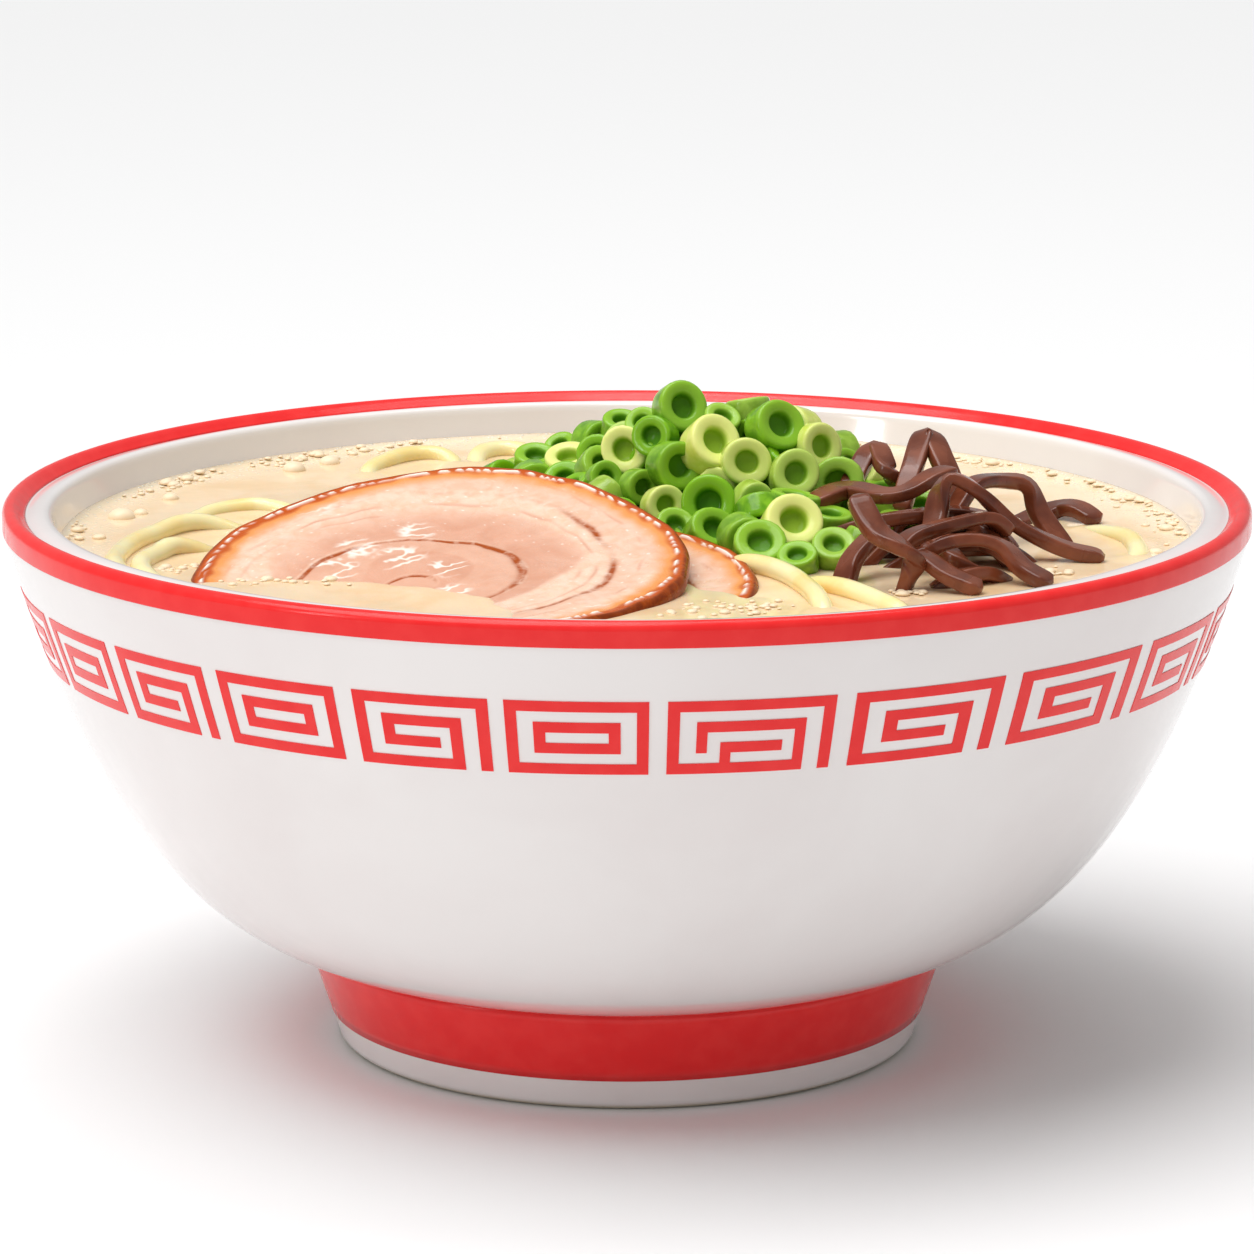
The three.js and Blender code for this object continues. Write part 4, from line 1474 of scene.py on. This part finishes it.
# -------------------------------------------------------------------------------- froth
@dataclass
class Froth:
    """Bubbles on the broth: small ones along the wall, rafts of them beside the food, and a few large ones.

    A large bubble is given by its place and radius, a raft by its place, spread and number of bubbles. Small
    bubbles lie within inmost of the wall, fewer the farther in, and their radii stay between two bounds.
    """

    bowl: Bowl
    small: int = 420
    inmost: float = 11.0
    small_radius: Pair = (0.3, 1.4)
    raft_radius: Pair = (0.3, 1.2)
    raft_shape: Pair = (0.75, 0.55)
    squash: float = 0.5
    squash_big: float = 0.72
    big: tuple[Point, ...] = (
        (-87, 15.5, 2.4),
        (-60, 61, 2.1),
        (-54, 68, 1.9),
        (-80, 33, 1.5),
        (-84, 19, 1.3),
    )
    rafts: tuple[tuple[float, float, float, int], ...] = (
        (-75, -29, 3.5, 24),
        (-62, -37, 5.0, 34),
        (-48, -36, 5.0, 28),
        (15, -61, 6.0, 36),
        (21, -60, 3.5, 18),
        (45, -47, 3.0, 20),
        (68, -31, 3.5, 20),
    )
    seed: int = 3

    def dome(self, rows: int, segments: int, squash: float) -> Shape:
        """A closed dome of radius 1: a half circle turned, its lower half flatter."""
        angle = np.linspace(np.pi / 2, -np.pi / 2, rows)
        z = np.where(np.sin(angle) > 0, squash, 0.35 * squash) * np.sin(angle)
        return lathe(np.stack([drawn_in(np.cos(angle)), z], axis=-1), segments)

    def upright(self, dome: Shape, places: Array, radius: Array) -> Shape:
        """Copies of a dome, each upright at its place and of its radius."""
        turns = np.repeat(np.eye(3)[None], len(places), axis=0)
        return copies(dome, places, turns, radius[:, None] * np.ones(3))

    def bubbles(self, rng: np.random.Generator) -> Shape:
        """Small bubbles crowded against the wall in patches, and the large ones."""
        edge = self.bowl.inner_radius(BROTH_LEVEL)
        bearing = rng.uniform(0, 2 * np.pi, 6 * self.small)
        flat = np.stack([np.sin(bearing), -np.cos(bearing)], axis=-1)
        crowd = rise(waves(flat, 0.5, 8), -0.9, 0.9)
        inward = rng.exponential(2.2, len(bearing)) + 0.4
        wanted = rng.uniform(size=len(bearing)) < crowd * np.exp(-inward / 7)
        keep = wanted & (inward < self.inmost)
        bearing, inward = bearing[keep][: self.small], inward[keep][: self.small]
        radius = np.clip(rng.lognormal(-0.6, 0.45, len(bearing)), *self.small_radius)
        r = edge - inward - radius * 0.5
        places = around(r, bearing, np.full(len(r), BROTH_LEVEL + 0.05))
        places[:, 2] += 0.9 * np.exp(-inward / 1.6)
        big = np.array(self.big)
        at = np.column_stack([big[:, :2], np.full(len(big), BROTH_LEVEL)])
        large = self.upright(self.dome(14, 24, self.squash_big), at, big[:, 2])
        return joined([self.upright(self.dome(6, 9, self.squash), places, radius), large])

    def raft(self, rng: np.random.Generator) -> Shape:
        """Small bubbles gathered round a few places, each raft a bell-shaped cloud of them."""
        rafts = np.array(self.rafts)
        which = np.repeat(np.arange(len(rafts)), rafts[:, 3].astype(int))
        flat = rafts[which, :2] + rng.normal(size=(len(which), 2)) * rafts[which, 2:3] * self.raft_shape
        radius = np.clip(rng.lognormal(-0.6, 0.4, len(which)), *self.raft_radius)
        places = np.column_stack([flat, np.full(len(which), BROTH_LEVEL + 0.1)])
        return self.upright(self.dome(6, 9, self.squash), places, radius)

    def build(self) -> list[bpy.types.Object]:
        """Makes the bubbles."""
        rng = np.random.default_rng(self.seed)
        shape = joined([self.bubbles(rng), self.raft(rng)])
        foam = shape.piece("broth_bubbles", BubbleFinish().material())
        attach(foam, "root")
        return [foam]


# -------------------------------------------------------------------------------- studio
@dataclass(frozen=True)
class SoftLight:
    """A large area light that looks at the bowl."""

    name: str
    place: Point
    size: Pair
    power: float

    def build(self) -> None:
        """Hangs the light."""
        data = bpy.data.lights.new(self.name, "AREA")
        data.shape = "RECTANGLE"
        data.size, data.size_y = self.size
        data.energy = self.power
        light = bpy.data.objects.new(self.name, data)
        bpy.context.scene.collection.objects.link(light)
        light.location = self.place
        light.rotation_euler = aimed(self.place)


@dataclass(frozen=True)
class Daylight:
    """Even light from one side of the sky, with soft shadows."""

    place: Point
    strength: float
    softness: float

    def build(self) -> None:
        """Hangs the light."""
        data = bpy.data.lights.new("daylight", "SUN")
        data.energy = self.strength
        data.angle = math.radians(self.softness)
        light = bpy.data.objects.new("daylight", data)
        bpy.context.scene.collection.objects.link(light)
        light.rotation_euler = aimed(self.place)


def aimed(place: Point) -> Point:
    """The rotation by which a light at a place looks at the bowl."""
    aim = np.array([0, 0, LIT_HEIGHT]) - np.array(place)
    return (math.atan2(math.hypot(aim[0], aim[1]), -aim[2]), 0, math.atan2(-aim[0], aim[1]))


@dataclass
class Studio:
    """The floor, the light and the camera. Metres, but millimetres for the lens, sensor and floor."""

    distance: float = 0.9132
    eye_height: float = 0.2663
    look_down: float = 12.10
    lens: float = 157.7
    sensor: float = 36.0
    sight: float = 50.0
    sky: float = 0.36
    floor_reach: float = 6000.0
    daylight: Daylight = Daylight((-0.32, -0.12, 1.0), 2.3, 50.0)
    lights: tuple[SoftLight, ...] = (
        SoftLight("window", (-1.1, -0.75, 0.55), (0.16, 0.46), 2.0),
        SoftLight("top", (0.1, 0.25, 1.2), (0.7, 0.5), 3.0),
    )

    def floor(self) -> None:
        """Lays the floor: a wide flat sheet that reaches the far edge of the view."""
        rows = 13
        span = np.linspace(-self.floor_reach, self.floor_reach, rows)
        x, y = np.meshgrid(span, span, indexing="ij")
        points = np.stack([x, y, np.zeros_like(x)], axis=-1).reshape(-1, 3)
        piece = Shape(points, [grid_faces(rows, rows)[:, ::-1]]).piece("floor", FloorFinish().material())

    def build(self) -> None:
        """Sets up everything round the object."""
        self.floor()
        self.daylight.build()
        for light in self.lights:
            light.build()
        scene = bpy.context.scene
        world = bpy.data.worlds.new("studio")
        world.use_nodes = True
        background = world.node_tree.nodes["Background"]
        background.inputs["Color"].default_value = (1.0, 1.0, 1.0, 1.0)
        background.inputs["Strength"].default_value = self.sky
        scene.world = world
        scene.view_settings.view_transform = "Standard"
        data = bpy.data.cameras.new("camera")
        data.lens = self.lens
        data.sensor_width = self.sensor
        data.clip_end = self.sight
        camera = bpy.data.objects.new("camera", data)
        scene.collection.objects.link(camera)
        camera.location = (0, -self.distance, self.eye_height)
        camera.rotation_euler = (math.radians(90 - self.look_down), 0, 0)
        scene.camera = camera


def report(pieces: Sequence[bpy.types.Object]) -> None:
    """Logs each finished piece with its number of faces."""
    for piece in pieces:
        log.info("%s: %d faces", piece.name, len(piece.data.polygons))


def main() -> None:
    """Builds every sub-assembly in order."""
    logging.basicConfig(level=logging.INFO, format="%(message)s")
    bowl = Bowl()
    noodles = Noodles()
    pork = PorkFinish().material()
    report(bowl.build())
    report(noodles.build())
    report(Broth(bowl, noodles).build())
    upper = PorkSlice(
        "pork_slice_upper",
        centre=(-31.2, -40.2),
        half=(40.8, 38.8),
        turn=-15,
        lift=2.4,
        back=5.8,
        arch=4.4,
        side=0.2,
        dip=6.0,
        seed=21,
    )
    lower = PorkSlice(
        "pork_slice_lower",
        centre=(-19, -42.6),
        half=(39.6, 38.2),
        turn=-17,
        lift=-3.8,
        back=5.0,
        arch=3.0,
        side=3.6,
        dip=3.6,
        seed=44,
        rings=120,
        segments=300,
    )
    report(upper.build(pork))
    report(lower.build(pork))
    report(OnionMound((upper, lower)).build())
    report(MushroomTangle().build())
    report(Froth(bowl).build())
    Studio().build()


if __name__ == "__main__":
    main()
